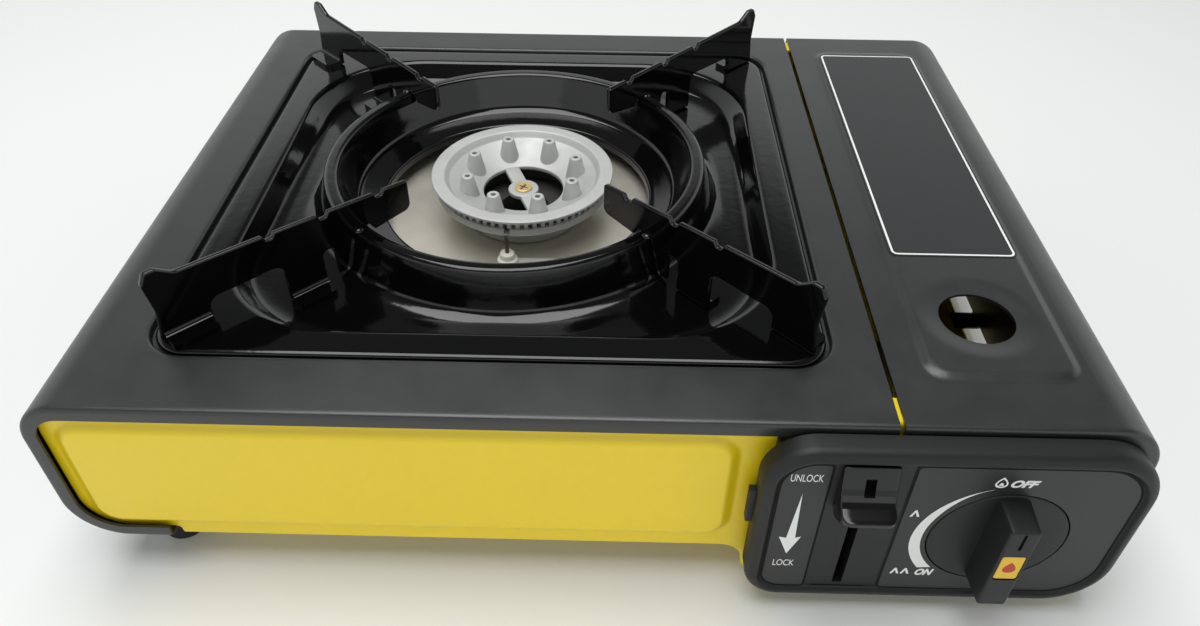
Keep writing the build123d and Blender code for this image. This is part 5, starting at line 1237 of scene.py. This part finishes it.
@dataclass(frozen=True)
class Electrode:
    """Glazed ceramic with the spark rod, in front of the burner."""

    place: tuple[float, float] = (-33.8, -23.9)
    ceramic: Outline = Outline(
        (
            (0.75, 55.0), (2.9, 55.0), (2.9, 63.0), (4.0, 63.0), (4.0, 65.4), (2.9, 65.4), (2.9, 68.0),
            (0.75, 68.0),
        ),
        (0.0, 0.4, 0.1, 0.3, 0.6, 0.3, 0.7, 0.0),
        closed=False, arc=5, line=3,
    )
    rod: Outline = Outline(
        ((0.02, 55.0), (0.7, 55.0), (0.7, 75.5), (0.02, 75.5)), (0.0, 0.1, 0.3, 0.0),
        closed=False, arc=4, line=4,
    )

    def build(self) -> None:
        """Build both pieces as turned profiles."""
        parts = (
            ("electrode_ceramic", self.ceramic, CERAMIC, "ceramic_white", "electrode_insulator"),
            ("electrode_wire", self.rod, DARK_STEEL, "zinc_steel", "electrode_rod"),
        )
        for name, profile, finish, slot, node in parts:
            skin = Skin()
            skin.turned(profile.trace(), *self.place, 48)
            skin.to_object(name, finish, Body.STOVE, [node])


@dataclass(frozen=True)
class Chassis:
    """Yellow pressed tub with a raised front field, open above and to the right."""

    sheet: float = 1.0
    front: float = -119.5
    rear: float = 139.5
    bend: float = 1.5
    flange: float = 10.0
    top_z: float = 81.0
    upturn_z: float = 7.0
    open_x: float = 152.5
    outline: Outline = Outline(
        (
            (-168.5, 81.0), (-168.5, 21.0), (-138.5, 21.0), (-138.5, 17.5), (53.0, 17.5), (53.0, 4.0),
            (165.5, 4.0), (165.5, 81.0),
        ),
        (13.0, 15.0, 1.4, 1.4, 8.5, 3.5, 4.0, 13.0),
        closed=True, arc=12, line=14,
    )
    field: tuple[float, float, float, float] = (-164.5, 24.0, 47.5, 74.0)
    field_radius: float = 10.0
    field_raise: float = 2.0
    field_slope: float = 4.2
    slot: tuple[float, float, float, float] = (81.5, 14.5, 84.7, 64.9)
    shaft: Triple = (128.4, 41.0, 4.0)
    hinge: tuple[float, float] = (168.0, 10.0)
    lug: Outline = Outline(
        ((1.46, 0.0), (2.7, 0.0), (2.7, 1.0), (1.46, 1.0)), (0.0, 0.1, 0.2, 0.0),
        closed=False, arc=3, line=2,
    )

    def build(self) -> bpy.types.Object:
        """Build the tub.

        The shell is the front view moved along the depth, drawn in at both ends by the bend. Its
        grid leaves out the open top and right side. The field's border is the field's outline
        drawn in by a share t of the slope and raised by a smooth step of t.

        Returns:
            The object.
        """
        skin = Skin()
        near = arc_steps(self.bend)
        near[:, 1] += self.front
        far = near[::-1].copy()
        far[:, 1] = self.front + self.rear - far[:, 1]
        inner = (self.front + self.flange, self.rear - self.flange)
        run = np.concatenate([[self.front + 3.0], np.linspace(*inner, 20), [self.rear - 3.0]])
        pairs = np.concatenate([near, np.stack([np.zeros(len(run)), run], axis=1), far])
        rows = np.stack([upright(y)(self.outline.trace(inset)) for inset, y in pairs])
        centre = (rows[:-1] + rows[1:]) / 2
        centre = (centre + np.roll(centre, -1, axis=1)) / 2
        x, y, z = np.moveaxis(centre, -1, 0)
        above = (z > self.top_z - 0.5) & (x > self.outline.corners[0][0] + self.flange)
        above &= (y > inner[0]) & (y < inner[1])
        beside = (x > self.open_x) & (z > self.upturn_z)
        beside &= (y > self.front + self.bend) & (y < self.rear - self.bend)
        skin.grid(rows, wrap=True, keep=~(above | beside), flip=True)
        wall = self.outline.trace(self.bend)
        field = rounded_box(*self.field, self.field_radius, 10, 12)
        slot = rounded_box(*self.slot, 0.3, 2, 2).trace()
        skin.plate([wall, field.trace(), slot, circle(*self.shaft, 32)], upright(self.front), guard=0.4)
        share = np.linspace(0.0, 1.0, 11)
        depth = self.front - self.field_raise * smooth_step(share)
        border = np.stack([share * self.field_slope, depth], axis=1)
        skin.stations(field, border, upright)
        skin.plate([field.trace(self.field_slope)], upright(self.front - self.field_raise), guard=0.8)
        skin.plate([wall], upright(self.rear), flip=True, guard=0.8)
        piece = skin.to_object("chassis_paint", YELLOW, Body.STOVE, ["chassis"])
        thicken(piece, self.sheet)
        lugs = Skin()
        for start, toward in ((self.front, 1.0), (self.rear, -1.0)):
            base = (self.hinge[0], start + toward, self.hinge[1])
            lugs.spun(self.lug.trace(), base, (0.0, -toward, 0.0), 32)
        lugs.to_object("chassis_hinge_lugs", YELLOW, Body.STOVE)
        return piece


@dataclass(frozen=True)
class ControlPanel:
    """Moulded bezel with a rolled rim, a recessed face, a dial hole and the lever's slot."""

    outline: Outline = Outline(
        ((52.2, 7.0), (170.7, 7.0), (170.7, 80.0), (52.2, 80.0)), (12.0, 20.0, 20.0, 16.0), True, 14, 10
    )
    back: float = -123.3
    front: float = -132.0
    face: float = -130.5
    wall: float = 2.5
    edge: float = 3.6
    rim: float = 5.0
    dial: Triple = (128.4, 41.0, 21.8)
    slot: tuple[float, float, float, float] = (81.5, 14.5, 84.7, 64.9)
    channel: float = 10.6
    skirt: tuple[float, float, float, float] = (57.0, 11.0, 158.0, 74.0)
    skirt_back: float = -119.5
    tab: tuple[Triple, Triple] = ((50.2, -126.3, 40.5), (54.7, -123.3, 55.5))
    foot_line: tuple[float, float, float, float] = (74.6, 12.2, 92.6, 12.9)
    foot_edge: float = 0.3

    def build(self) -> bpy.types.Object:
        """Build the bezel.

        The skin is the outline drawn in from station to station: up the outside, over a round
        edge, over the rim and down a soft step to the face.

        Returns:
            The object.
        """
        skin = Skin()
        turn = np.linspace(0.0, math.pi / 2, 9)
        outside = [
            [self.wall, self.face + self.wall], [self.wall, self.back], [self.foot_edge, self.back],
            [0.0, self.back - self.foot_edge],
        ]
        over = np.stack(
            [self.edge * (1 - np.cos(turn)), self.front + self.edge * (1 - np.sin(turn))], axis=1
        )
        drop = self.face - self.front
        share = np.linspace(0.0, 1.0, 8)[1:]
        inward = self.edge + share * (self.rim - self.edge)
        step = np.stack([inward, self.front + drop * smooth_step(share)], axis=1)
        pairs = np.concatenate([outside, over, step])
        skin.stations(self.outline, pairs, upright)
        hole = circle(*self.dial, 120)
        slot = rounded_box(*self.slot, 0.4, 3, 4).trace()
        skin.plate([self.outline.trace(self.rim), hole, slot], upright(self.face), guard=0.5)
        for loop, depth in ((hole, self.wall), (slot, self.channel)):
            skin.grid(np.stack([upright(y)(loop) for y in (self.face, self.face + depth)]), wrap=True)
        box = rounded_box(*self.skirt, 1.0, 4, 4)
        skin.stations(box, np.array([[0.0, self.skirt_back], [0.0, self.face + self.wall]]), upright)
        skin.block(*self.tab)
        piece = skin.to_object("panel_moulding", PANEL, Body.STOVE, ["control_panel"])
        # A dark line across the foot of the middle strip, in the same finish as the films' painted gap
        # shadow.
        line = Skin()
        line.plate([rounded_box(*self.foot_line, 0.2, 2, 2).trace()], upright(self.face - 0.03))
        line.to_object("panel_foot_line", DARK_LINE_AND_GAP_SHADE, Body.STOVE)
        return piece


@dataclass(frozen=True)
class Knob:
    """Flush dial with a tapered bar grip, a pointer groove and a yellow insert."""

    centre: tuple[float, float] = (128.4, 41.0)
    dial_back: float = -127.6
    dial: Outline = Outline(
        ((7.0, 0.0), (21.4, 0.0), (21.4, 3.4), (0.02, 3.4)), (0.0, 0.2, 0.5, 0.0),
        closed=False, arc=5, line=6,
    )
    hub: Outline = Outline(
        ((3.1, -7.1), (7.0, -7.1), (7.0, 0.2), (3.1, 0.2)), (0.0, 0.3, 0.1, 0.0),
        closed=False, arc=3, line=3,
    )
    foot: float = -131.0
    front: float = -142.5
    half: tuple[float, float] = (5.1, 19.5)
    taper: float = 0.6
    edge: float = 0.8
    pointer: tuple[float, float, float, float] = (-0.5, 10.4, 0.5, 17.95)
    pointer_depth: float = 0.8
    insert: tuple[float, float, float, float] = (-3.6, -5.0, 3.6, 7.0)
    insert_radius: float = 0.9
    insert_sheet: float = 0.8
    insert_gap: float = 0.5
    insert_sink: float = 0.12
    pocket_depth: float = 0.3
    flame_z: float = 1.4
    flame_half: tuple[float, float] = (2.0, 2.6)

    def _box(self, sides: Sequence[float], radius: float, arc: int = 5) -> Outline:
        """Rounded box given from the knob's centre."""
        (x, z), (left, low, right, high) = self.centre, sides
        return rounded_box(x + left, z + low, x + right, z + high, radius, arc, 6)

    def build(self) -> None:
        """Build dial with grip, insert and flame."""
        x, z = self.centre
        skin = Skin()
        for profile in (self.dial, self.hub):
            skin.spun(profile.trace(), (x, self.dial_back, z), (0.0, -1.0, 0.0), 120)
        half_x, half_z = self.half
        bar = self._box((-half_x, -half_z, half_x, half_z), 1.6)
        turn = np.linspace(0.0, math.pi / 2, 7)
        rise = np.linspace((0.0, self.foot), (self.taper, self.front + self.edge), 8)
        over = np.stack(
            [self.taper + self.edge * (1 - np.cos(turn)), self.front + self.edge * (1 - np.sin(turn))],
            axis=1,
        )[1:]
        skin.stations(bar, np.concatenate([rise, over]), upright)
        pointer = self._box(self.pointer, 0.3, 3).trace()
        insert = self._box(self.insert, self.insert_radius)
        skin.plate([bar.trace(self.taper + self.edge), pointer, insert.trace()], upright(self.front))
        groove = (self.front, self.front + self.pointer_depth)
        skin.grid(np.stack([upright(y)(pointer) for y in groove]), wrap=True)
        skin.plate([pointer], upright(self.front + self.pointer_depth))
        pocket = (self.front, self.front + self.pocket_depth)
        skin.grid(np.stack([upright(y)(insert.trace()) for y in pocket]), wrap=True)
        skin.to_object("knob_moulding", PANEL, Body.KNOB, ["knob"])
        self._insert()

    def _insert(self) -> None:
        """Build the yellow plate, with a gap under it, and the flame printed on it."""
        left, low, right, high = self.insert
        outline = self._box((left, low + self.insert_gap, right, high), self.insert_radius)
        plate = Skin()
        front = self.front + self.insert_sink
        pairs = np.array([[0.08, self.front + self.insert_sheet], [0.08, front + 0.1], [0.2, front]])
        plate.stations(outline, pairs, upright)
        plate.plate([outline.trace(0.2)], upright(front))
        plate.to_object("knob_plate", INSERT, Body.KNOB, ["knob_insert"])
        flame = Skin()
        x, z = self.centre
        flame.plate([drop(x, z + self.flame_z, *self.flame_half)], upright(front - 0.02))
        flame.to_object("knob_flame", FLAME, Body.KNOB)


@dataclass(frozen=True)
class LockLever:
    """Glossy lever cap: a sloping plate, a ridge with a notch, a scoop and a lip."""

    x: float = 83.1
    half: float = 8.3
    corner: float = 3.2
    ridge: tuple[float, float] = (-133.9, 67.5)
    lip: tuple[float, float] = (-142.0, 61.5)
    sag: float = 1.8
    notch: Triple = (1.6, 65.2, 69.8)
    notch_y: float = -131.9
    edge: float = 0.7
    stem: tuple[Triple, Triple] = ((81.9, -130.9, 56.5), (84.3, -118.2, 64.5))

    def side(self) -> Outline:
        """Side view of the cap, drawn in Y and Z.

        The scoop between ridge and lip is a parabola that sags from their chord.

        Returns:
            The closed outline.
        """
        start, end = np.array(self.ridge), np.array(self.lip)
        chord = end - start
        inward = np.array([-chord[1], chord[0]]) / np.linalg.norm(chord)
        share = np.array([0.18, 0.36, 0.54, 0.72, 0.88])[:, None]
        scoop = start + share * chord + inward * self.sag * 4 * share * (1 - share)
        corners = [
            (-130.9, 54.0), (-130.9, 75.0), (-132.0, 75.0), self.ridge, *map(tuple, scoop.tolist()),
            self.lip, (-142.0, 60.1), (-134.2, 54.0),
        ]
        radii = [0.2, 0.3, 0.5, 0.9, *([2.0] * len(scoop)), 0.35, 0.5, 0.6]
        return Outline(tuple(corners), tuple(radii), True, 5, 4)

    def build(self) -> bpy.types.Object:
        """Build the cap with its stem.

        The side view is moved along X. The ends are drawn in for round edges, and the notch pushes
        the points near the ridge back between its two sides.

        Returns:
            The object.
        """
        view = self.side()
        round_ = arc_steps(self.edge, 4)
        near = np.stack([round_[:, 0], round_[:, 1]], axis=1)
        width, low, high = self.notch
        inner = np.array([[0.0, 3.0], [0.0, self.half - width - 0.02]])
        notch = np.array([[0.0, self.half - width], [0.0, self.half]])
        half = np.concatenate([near, inner, notch])
        rows = []
        for inset, depth in np.concatenate([half, half[-2::-1] * [1, -1] + [0, 2 * self.half]]):
            flat = view.trace(inset)
            share = depth / self.half - 1.0
            if abs(share) * self.half <= width + 0.001:
                inside = (flat[:, 1] > low) & (flat[:, 1] < high)
                flat[:, 0] = np.where(inside, np.maximum(flat[:, 0], self.notch_y), flat[:, 0])
            rows.append(self._place(share)(flat))
        skin = Skin()
        skin.grid(np.stack(rows), wrap=True)
        for share, turned_over in ((1.0, False), (-1.0, True)):
            skin.plate([view.trace(self.edge)], self._place(share), flip=turned_over)
        skin.block(*self.stem, 0.2)
        return skin.to_object("lever_cap", LEVER, Body.LEVER, ["lock_lever"], sharp=40.0)

    def _place(self, share: float) -> Place:
        """Place a side view at this share of the half width, which is drawn in at the lip.

        The lip's corners are rounded: the half width falls along a quarter circle over the last
        stretch before the lip.

        Args:
            share: from -1 at the left end to 1 at the right end.

        Returns:
            What puts flat points, drawn in Y and Z, into space.
        """
        return lambda flat: np.column_stack([self.x + share * self._half_at(flat[:, 0]), flat])

    def _half_at(self, y: Array) -> Array:
        """Half width at these depths."""
        past = np.clip((self.lip[0] + self.corner - y) / self.corner, 0.0, 0.95)
        return self.half - self.corner * (1.0 - np.sqrt(1.0 - past ** 2))


def drop(x: float, z: float, half_x: float, half_z: float, count: int = 40) -> Array:
    """Outline of a flame, a drop with its tip up.

    The height is a cosine of the angle and the width its sine times the sine of half of it,
    which closes the top to a point.

    Args:
        x, z: centre.
        half_x, half_z: half sizes.
        count: number of points.

    Returns:
        Array (count, 2), anticlockwise from the tip.
    """
    angle = np.linspace(0.0, 2 * math.pi, count, endpoint=False)
    aside = -1.3 * np.sin(angle) * np.sin(angle / 2)
    return np.stack([x + half_x * aside, z + half_z * np.cos(angle)], axis=1)


def lettering(text: str, slant: float = 0.0, weight: float = 0.0) -> tuple[Array, Array]:
    """Letters as flat triangles in a unit box.

    Args:
        text: the letters.
        slant: shear of the letters.
        weight: growth of the strokes.

    Returns:
        Points (n, 2) from nought to one, and triangles (m, 3).
    """
    curve = bpy.data.curves.new(text, "FONT")
    curve.body = text
    curve.shear = slant
    curve.offset = weight
    maker = bpy.data.objects.new(text, curve)
    mesh = bpy.data.meshes.new_from_object(maker)
    mesh.calc_loop_triangles()
    points = np.empty(3 * len(mesh.vertices))
    mesh.vertices.foreach_get("co", points)
    triangles = np.empty(3 * len(mesh.loop_triangles), int)
    mesh.loop_triangles.foreach_get("vertices", triangles)
    bpy.data.objects.remove(maker)
    bpy.data.curves.remove(curve)
    bpy.data.meshes.remove(mesh)
    flat = points.reshape(-1, 3)[:, :2]
    low, high = flat.min(axis=0), flat.max(axis=0)
    return (flat - low) / (high - low), triangles.reshape(-1, 3)


@dataclass(frozen=True)
class Word:
    """One printed word: its centre, size, slant and stroke growth."""

    text: str
    x: float
    z: float
    width: float
    height: float
    slant: float = 0.0
    weight: float = 0.0

    def add(self, skin: Skin, place: Place) -> None:
        """Add the word to a skin.

        Args:
            skin: skin to add to.
            place: puts flat points into space.
        """
        points, triangles = lettering(self.text, self.slant, self.weight)
        size = np.array([self.width, self.height])
        skin.patch(place((points - 0.5) * size + [self.x, self.z]), triangles)


@dataclass(frozen=True)
class PanelFilms:
    """Two printed films on the panel's face, with generic marks."""

    face: float = -130.5
    sheet: float = 0.3
    # Painted shadow: insets of the dark line along each film's edge, standing in for the shade in the gap
    # there.
    line: tuple[float, float] = (0.1, 0.8)
    lock: Outline = Outline(
        ((57.2, 12.0), (72.6, 12.0), (72.6, 75.0), (57.2, 75.0)), (7.0, 2.0, 2.0, 11.0), True, 10, 6
    )
    gas: Outline = Outline(
        ((96.2, 12.0), (165.7, 12.0), (165.7, 75.0), (96.2, 75.0)), (2.0, 15.0, 15.0, 2.0), True, 10, 8
    )
    dial: Triple = (128.4, 41.0, 21.8)
    words: tuple[Word, ...] = (
        Word("UNLOCK", 65.1, 68.4, 9.7, 3.3),
        Word("LOCK", 64.0, 25.4, 6.8, 3.3),
        Word("OFF", 129.2, 67.8, 8.4, 3.4, 0.3, 0.05),
        Word("ON", 110.4, 21.8, 5.9, 3.6, 0.3, 0.05),
    )
    arrow: tuple[tuple[float, float], ...] = (
        (64.8, 61.1), (63.0, 38.8), (60.7, 39.3), (64.2, 30.4), (67.6, 39.6), (65.8, 38.9),
    )
    sweep: Triple = (17.0, 134.5, 128.5)
    sweep_radius: Triple = (25.0, 23.3, 26.7)
    marks: tuple[tuple[float, float, float, float], ...] = (
        (100.4, 52.7, 3.1, 3.2), (100.8, 22.2, 3.0, 3.1), (104.1, 22.2, 3.0, 3.1),
    )
    mark_stroke: float = 0.8
    icon: tuple[float, float, float, float] = (122.2, 68.3, 1.9, 2.4)

    def build(self) -> None:
        """Build films, their painted gap-shadow lines and print."""
        self._film("lock_film", self.lock, [], "lock_label")
        self._film("gas_film", self.gas, [circle(*self.dial, 120)], "knob_label")
        place = upright(self.face - self.sheet - 0.03)
        skin = Skin()
        for word in self.words:
            word.add(skin, place)
        skin.plate([np.array(self.arrow)], place)
        for mark in self.marks:
            skin.plate([self._chevron(*mark)], place)
        x, z, half_x, half_z = self.icon
        skin.plate([drop(x, z, half_x, half_z), drop(x, z - 0.1, half_x - 0.55, half_z - 0.7)], place)
        skin.plate([self._chevron(x, z - 0.8, 1.7, 1.4)], place)
        self._sweep(skin, place)
        skin.to_object("panel_print", PRINT, Body.STOVE)

    def _film(self, name: str, outline: Outline, holes: list[Array], node: str) -> None:
        """Build one film and the dark line of painted gap shadow along its edge.

        Args:
            name: name of the film's object.
            outline: border of the film.
            holes: loops to leave out.
            node: node that it is shown for.
        """
        front = self.face - self.sheet
        film = Skin()
        film.stations(outline, np.array([[0.0, self.face], [0.0, front + 0.08], [0.08, front]]), upright)
        film.plate([outline.trace(0.08), *holes], upright(front))
        film.to_object(name, FILM, Body.STOVE, [node])
        # Painted shadow: a dark ring just inside the film's edge, for the shade of the gap round it.
        line = Skin()
        line.plate([outline.trace(self.line[0]), outline.trace(self.line[1])], upright(front - 0.02))
        line.to_object(f"{name}_line", DARK_LINE_AND_GAP_SHADE, Body.STOVE)

    def _chevron(self, x: float, z: float, width: float, height: float) -> Array:
        """Outline of a chevron that points up."""
        half, stroke = width / 2, self.mark_stroke
        points = np.array([
            (-half, -height / 2), (-half + stroke, -height / 2), (0.0, height / 2 - 1.4 * stroke),
            (half - stroke, -height / 2), (half, -height / 2), (0.35 * stroke, height / 2),
            (-0.35 * stroke, height / 2),
        ])
        return points + [x, z]

    def _sweep(self, skin: Skin, place: Place) -> None:
        """Add the tapered sweep round the dial.

        Both edges start at one radius. The inner one falls and the outer one rises with a smooth
        step of the share of the sweep, and the inner one runs on further, for a level end.

        Args:
            skin: skin to add to.
            place: puts flat points into space.
        """
        x, z, _ = self.dial
        start, inner_end, outer_end = self.sweep
        share = np.linspace(0.0, 1.0, 80)
        first, inner, outer = self.sweep_radius
        edges = (
            (inner_end, first + (inner - first) * smooth_step(share / 0.45)),
            (outer_end, first + 0.08 + (outer - first) * smooth_step(share / 0.8)),
        )
        loops = []
        for end, radius in edges:
            angle = np.radians(90.0 + start + share * (end - start))
            loops.append(np.stack([x + radius * np.cos(angle), z + radius * np.sin(angle)], axis=1))
        skin.grid(np.stack([place(loop) for loop in loops]), flip=True)


@dataclass(frozen=True)
class LidFilm:
    """Bare film on the lid's pad with a white frame line."""

    box: tuple[float, float, float, float] = (105.7, -41.5, 151.3, 120.0)
    radius: float = 3.0
    low: float = 83.2
    sheet: float = 0.2
    frame_inset: tuple[float, float] = (0.7, 1.5)

    def build(self) -> None:
        """Build film and frame."""
        outline = rounded_box(*self.box, self.radius, 8, 8)
        top = self.low + self.sheet
        film = Skin()
        film.stations(outline, np.array([[0.0, self.low], [0.0, top - 0.05], [0.05, top]]), level)
        film.plate([outline.trace(0.05)], level(top))
        film.to_object("lid_film", FILM, Body.LID, ["lid_label"])
        frame_line = Skin()
        frame_line.plate([outline.trace(inset) for inset in self.frame_inset], level(top + 0.02))
        frame_line.to_object("lid_film_frame", PRINT, Body.LID)


@dataclass(frozen=True)
class Feet:
    """Four rubber feet."""

    radius: tuple[float, float] = (7.5, 8.5)
    spots: tuple[tuple[str, float, float, float], ...] = (
        ("front_left", -148.0, -102.5, 19.7), ("rear_left", -148.0, 122.5, 19.7),
        ("front_right", 147.5, -102.5, 4.0), ("rear_right", 147.5, 122.5, 4.0),
    )

    def build(self) -> None:
        """Build each foot as a turned profile."""
        low, high = self.radius
        for name, x, y, top in self.spots:
            corners = ((0.02, 0.0), (low, 0.0), (high, top), (0.02, top))
            profile = Outline(corners, (0.0, 0.8, 0.4, 0.0), False, 5, 3)
            skin = Skin()
            skin.turned(profile.trace(), x, y, 64)
            skin.to_object(f"rubber_{name}", RUBBER, Body.STOVE, [f"foot_{name}"])


@dataclass(frozen=True)
class CadDress:
    """Finishes of the CAD nodes that stay visible as they are."""

    finishes: tuple[tuple[Finish, tuple[str, ...]], ...] = (
        (BRIGHT, ("reflector_plate",)),
        # The electrode clip takes the plated steel with painted reflection.
        (STRIP_PAINTED_REFLECTION, ("electrode_clip",)),
        (ZINC, ("lid_hinge_pins", "partition", "canister_clamp", "burner_bracket", "bracket_screws",
                "panel_screws", "valve_screws", "lever_slide", "slide_guide", "knob_shaft", "mixing_tube")),
        (ALLOY, ("gas_valve",)),
        (BRASS, ("gas_nozzle",)),
        (RUBBER, ("inlet_seal",)),
        (HOUSING, ("igniter",)),
        (SLEEVE, ("ignition_wire",)),
    )

    def dress(self) -> None:
        """Give every node its finish."""
        for finish, nodes in self.finishes:
            for name in nodes:
                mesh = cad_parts[name].data
                mesh.materials.clear()
                mesh.materials.append(finish.material())


@dataclass(frozen=True)
class Studio:
    """Pale floor, soft light and the photo's camera."""

    lens: float = 27.4
    place_mm: Triple = (5.93, -302.71, 280.76)
    turn_deg: Triple = (48.960, -0.487, 1.218)
    floor_half: float = 6.0
    aim: Triple = (0.0, 0.0, 0.05)

    def build(self) -> None:
        """Set up camera, floor and lights."""
        scene = bpy.context.scene
        camera = bpy.data.objects.new("camera", bpy.data.cameras.new("camera"))
        camera.data.lens = self.lens
        camera.data.sensor_width = 36.0
        camera.data.clip_start = 0.01
        camera.location = [value * MM for value in self.place_mm]
        camera.rotation_euler = [math.radians(value) for value in self.turn_deg]
        scene.collection.objects.link(camera)
        scene.camera = camera
        scene.render.resolution_x = 1200
        scene.render.resolution_y = 626
        scene.view_settings.view_transform = "Standard"
        self._floor()
        self._light("key", (-0.15, 0.0, 1.35), (1.3, 0.9), 18.0)
        self._light("front", (0.0, -1.5, 0.7), (1.8, 0.9), 1.5)
        self._sky(scene)

    def _sky(self, scene: bpy.types.Scene) -> None:
        """Give the room a pale wall low down and a dim ceiling.

        The strength follows the height of the direction: full at the wall, little above it.

        Args:
            scene: scene to set.
        """
        world = bpy.data.worlds.new("studio")
        scene.world = world
        world.use_nodes = True
        tree = world.node_tree
        back = tree.nodes["Background"]
        back.inputs["Color"].default_value = linear("#f3f5f4")
        place = add_node(tree, "ShaderNodeTexCoord", {}, {}).outputs["Generated"]
        height = add_node(tree, "ShaderNodeSeparateXYZ", {}, {"Vector": place}).outputs["Z"]
        ramp = add_node(
            tree,
            "ShaderNodeMapRange",
            {
                "interpolation_type": "SMOOTHSTEP", "From Min": 0.45, "From Max": 0.6, "To Min": 1.0,
                "To Max": 0.15,
            },
            {"Value": height},
        )
        tree.links.new(ramp.outputs["Result"], back.inputs["Strength"])

    def _floor(self) -> None:
        """Lay a plain pale floor under the feet."""
        mesh = bpy.data.meshes.new("floor")
        half = self.floor_half
        corners = [(-half, -half, 0), (half, -half, 0), (half, half, 0), (-half, half, 0)]
        mesh.from_pydata(corners, [], [(0, 1, 2, 3)])
        mesh.materials.append(Finish("pale table top", "#eaeceb", 0.6).material())
        floor = bpy.data.objects.new("floor", mesh)
        bpy.context.scene.collection.objects.link(floor)

    def _light(self, name: str, place: Triple, size: tuple[float, float], power: float) -> None:
        """Hang a soft area light that faces the stove.

        Args:
            name: name of the light.
            place: its place in metres.
            size: width and length in metres.
            power: power in watts.
        """
        data = bpy.data.lights.new(name, "AREA")
        data.shape = "RECTANGLE"
        data.size, data.size_y = size
        data.energy = power
        lamp = bpy.data.objects.new(name, data)
        lamp.location = place
        toward = Vector(self.aim) - Vector(place)
        lamp.rotation_euler = toward.to_track_quat("-Z", "Y").to_euler()
        bpy.context.scene.collection.objects.link(lamp)


def main() -> None:
    """Build the stove's looks in order."""
    logging.basicConfig(level=logging.INFO, format="%(message)s")
    CadDress().dress()
    TopCover().build()
    Lid().build()
    Tray().build()
    arms = {"front_left": 225.0, "front_right": 315.0, "rear_right": 45.0, "rear_left": 135.0}
    for name, angle in arms.items():
        PanSupport(name, angle).build()
    Burner().build()
    Electrode().build()
    Chassis().build()
    ControlPanel().build()
    Knob().build()
    LockLever().build()
    PanelFilms().build()
    LidFilm().build()
    Feet().build()
    Studio().build()


if __name__ == "__main__":
    main()
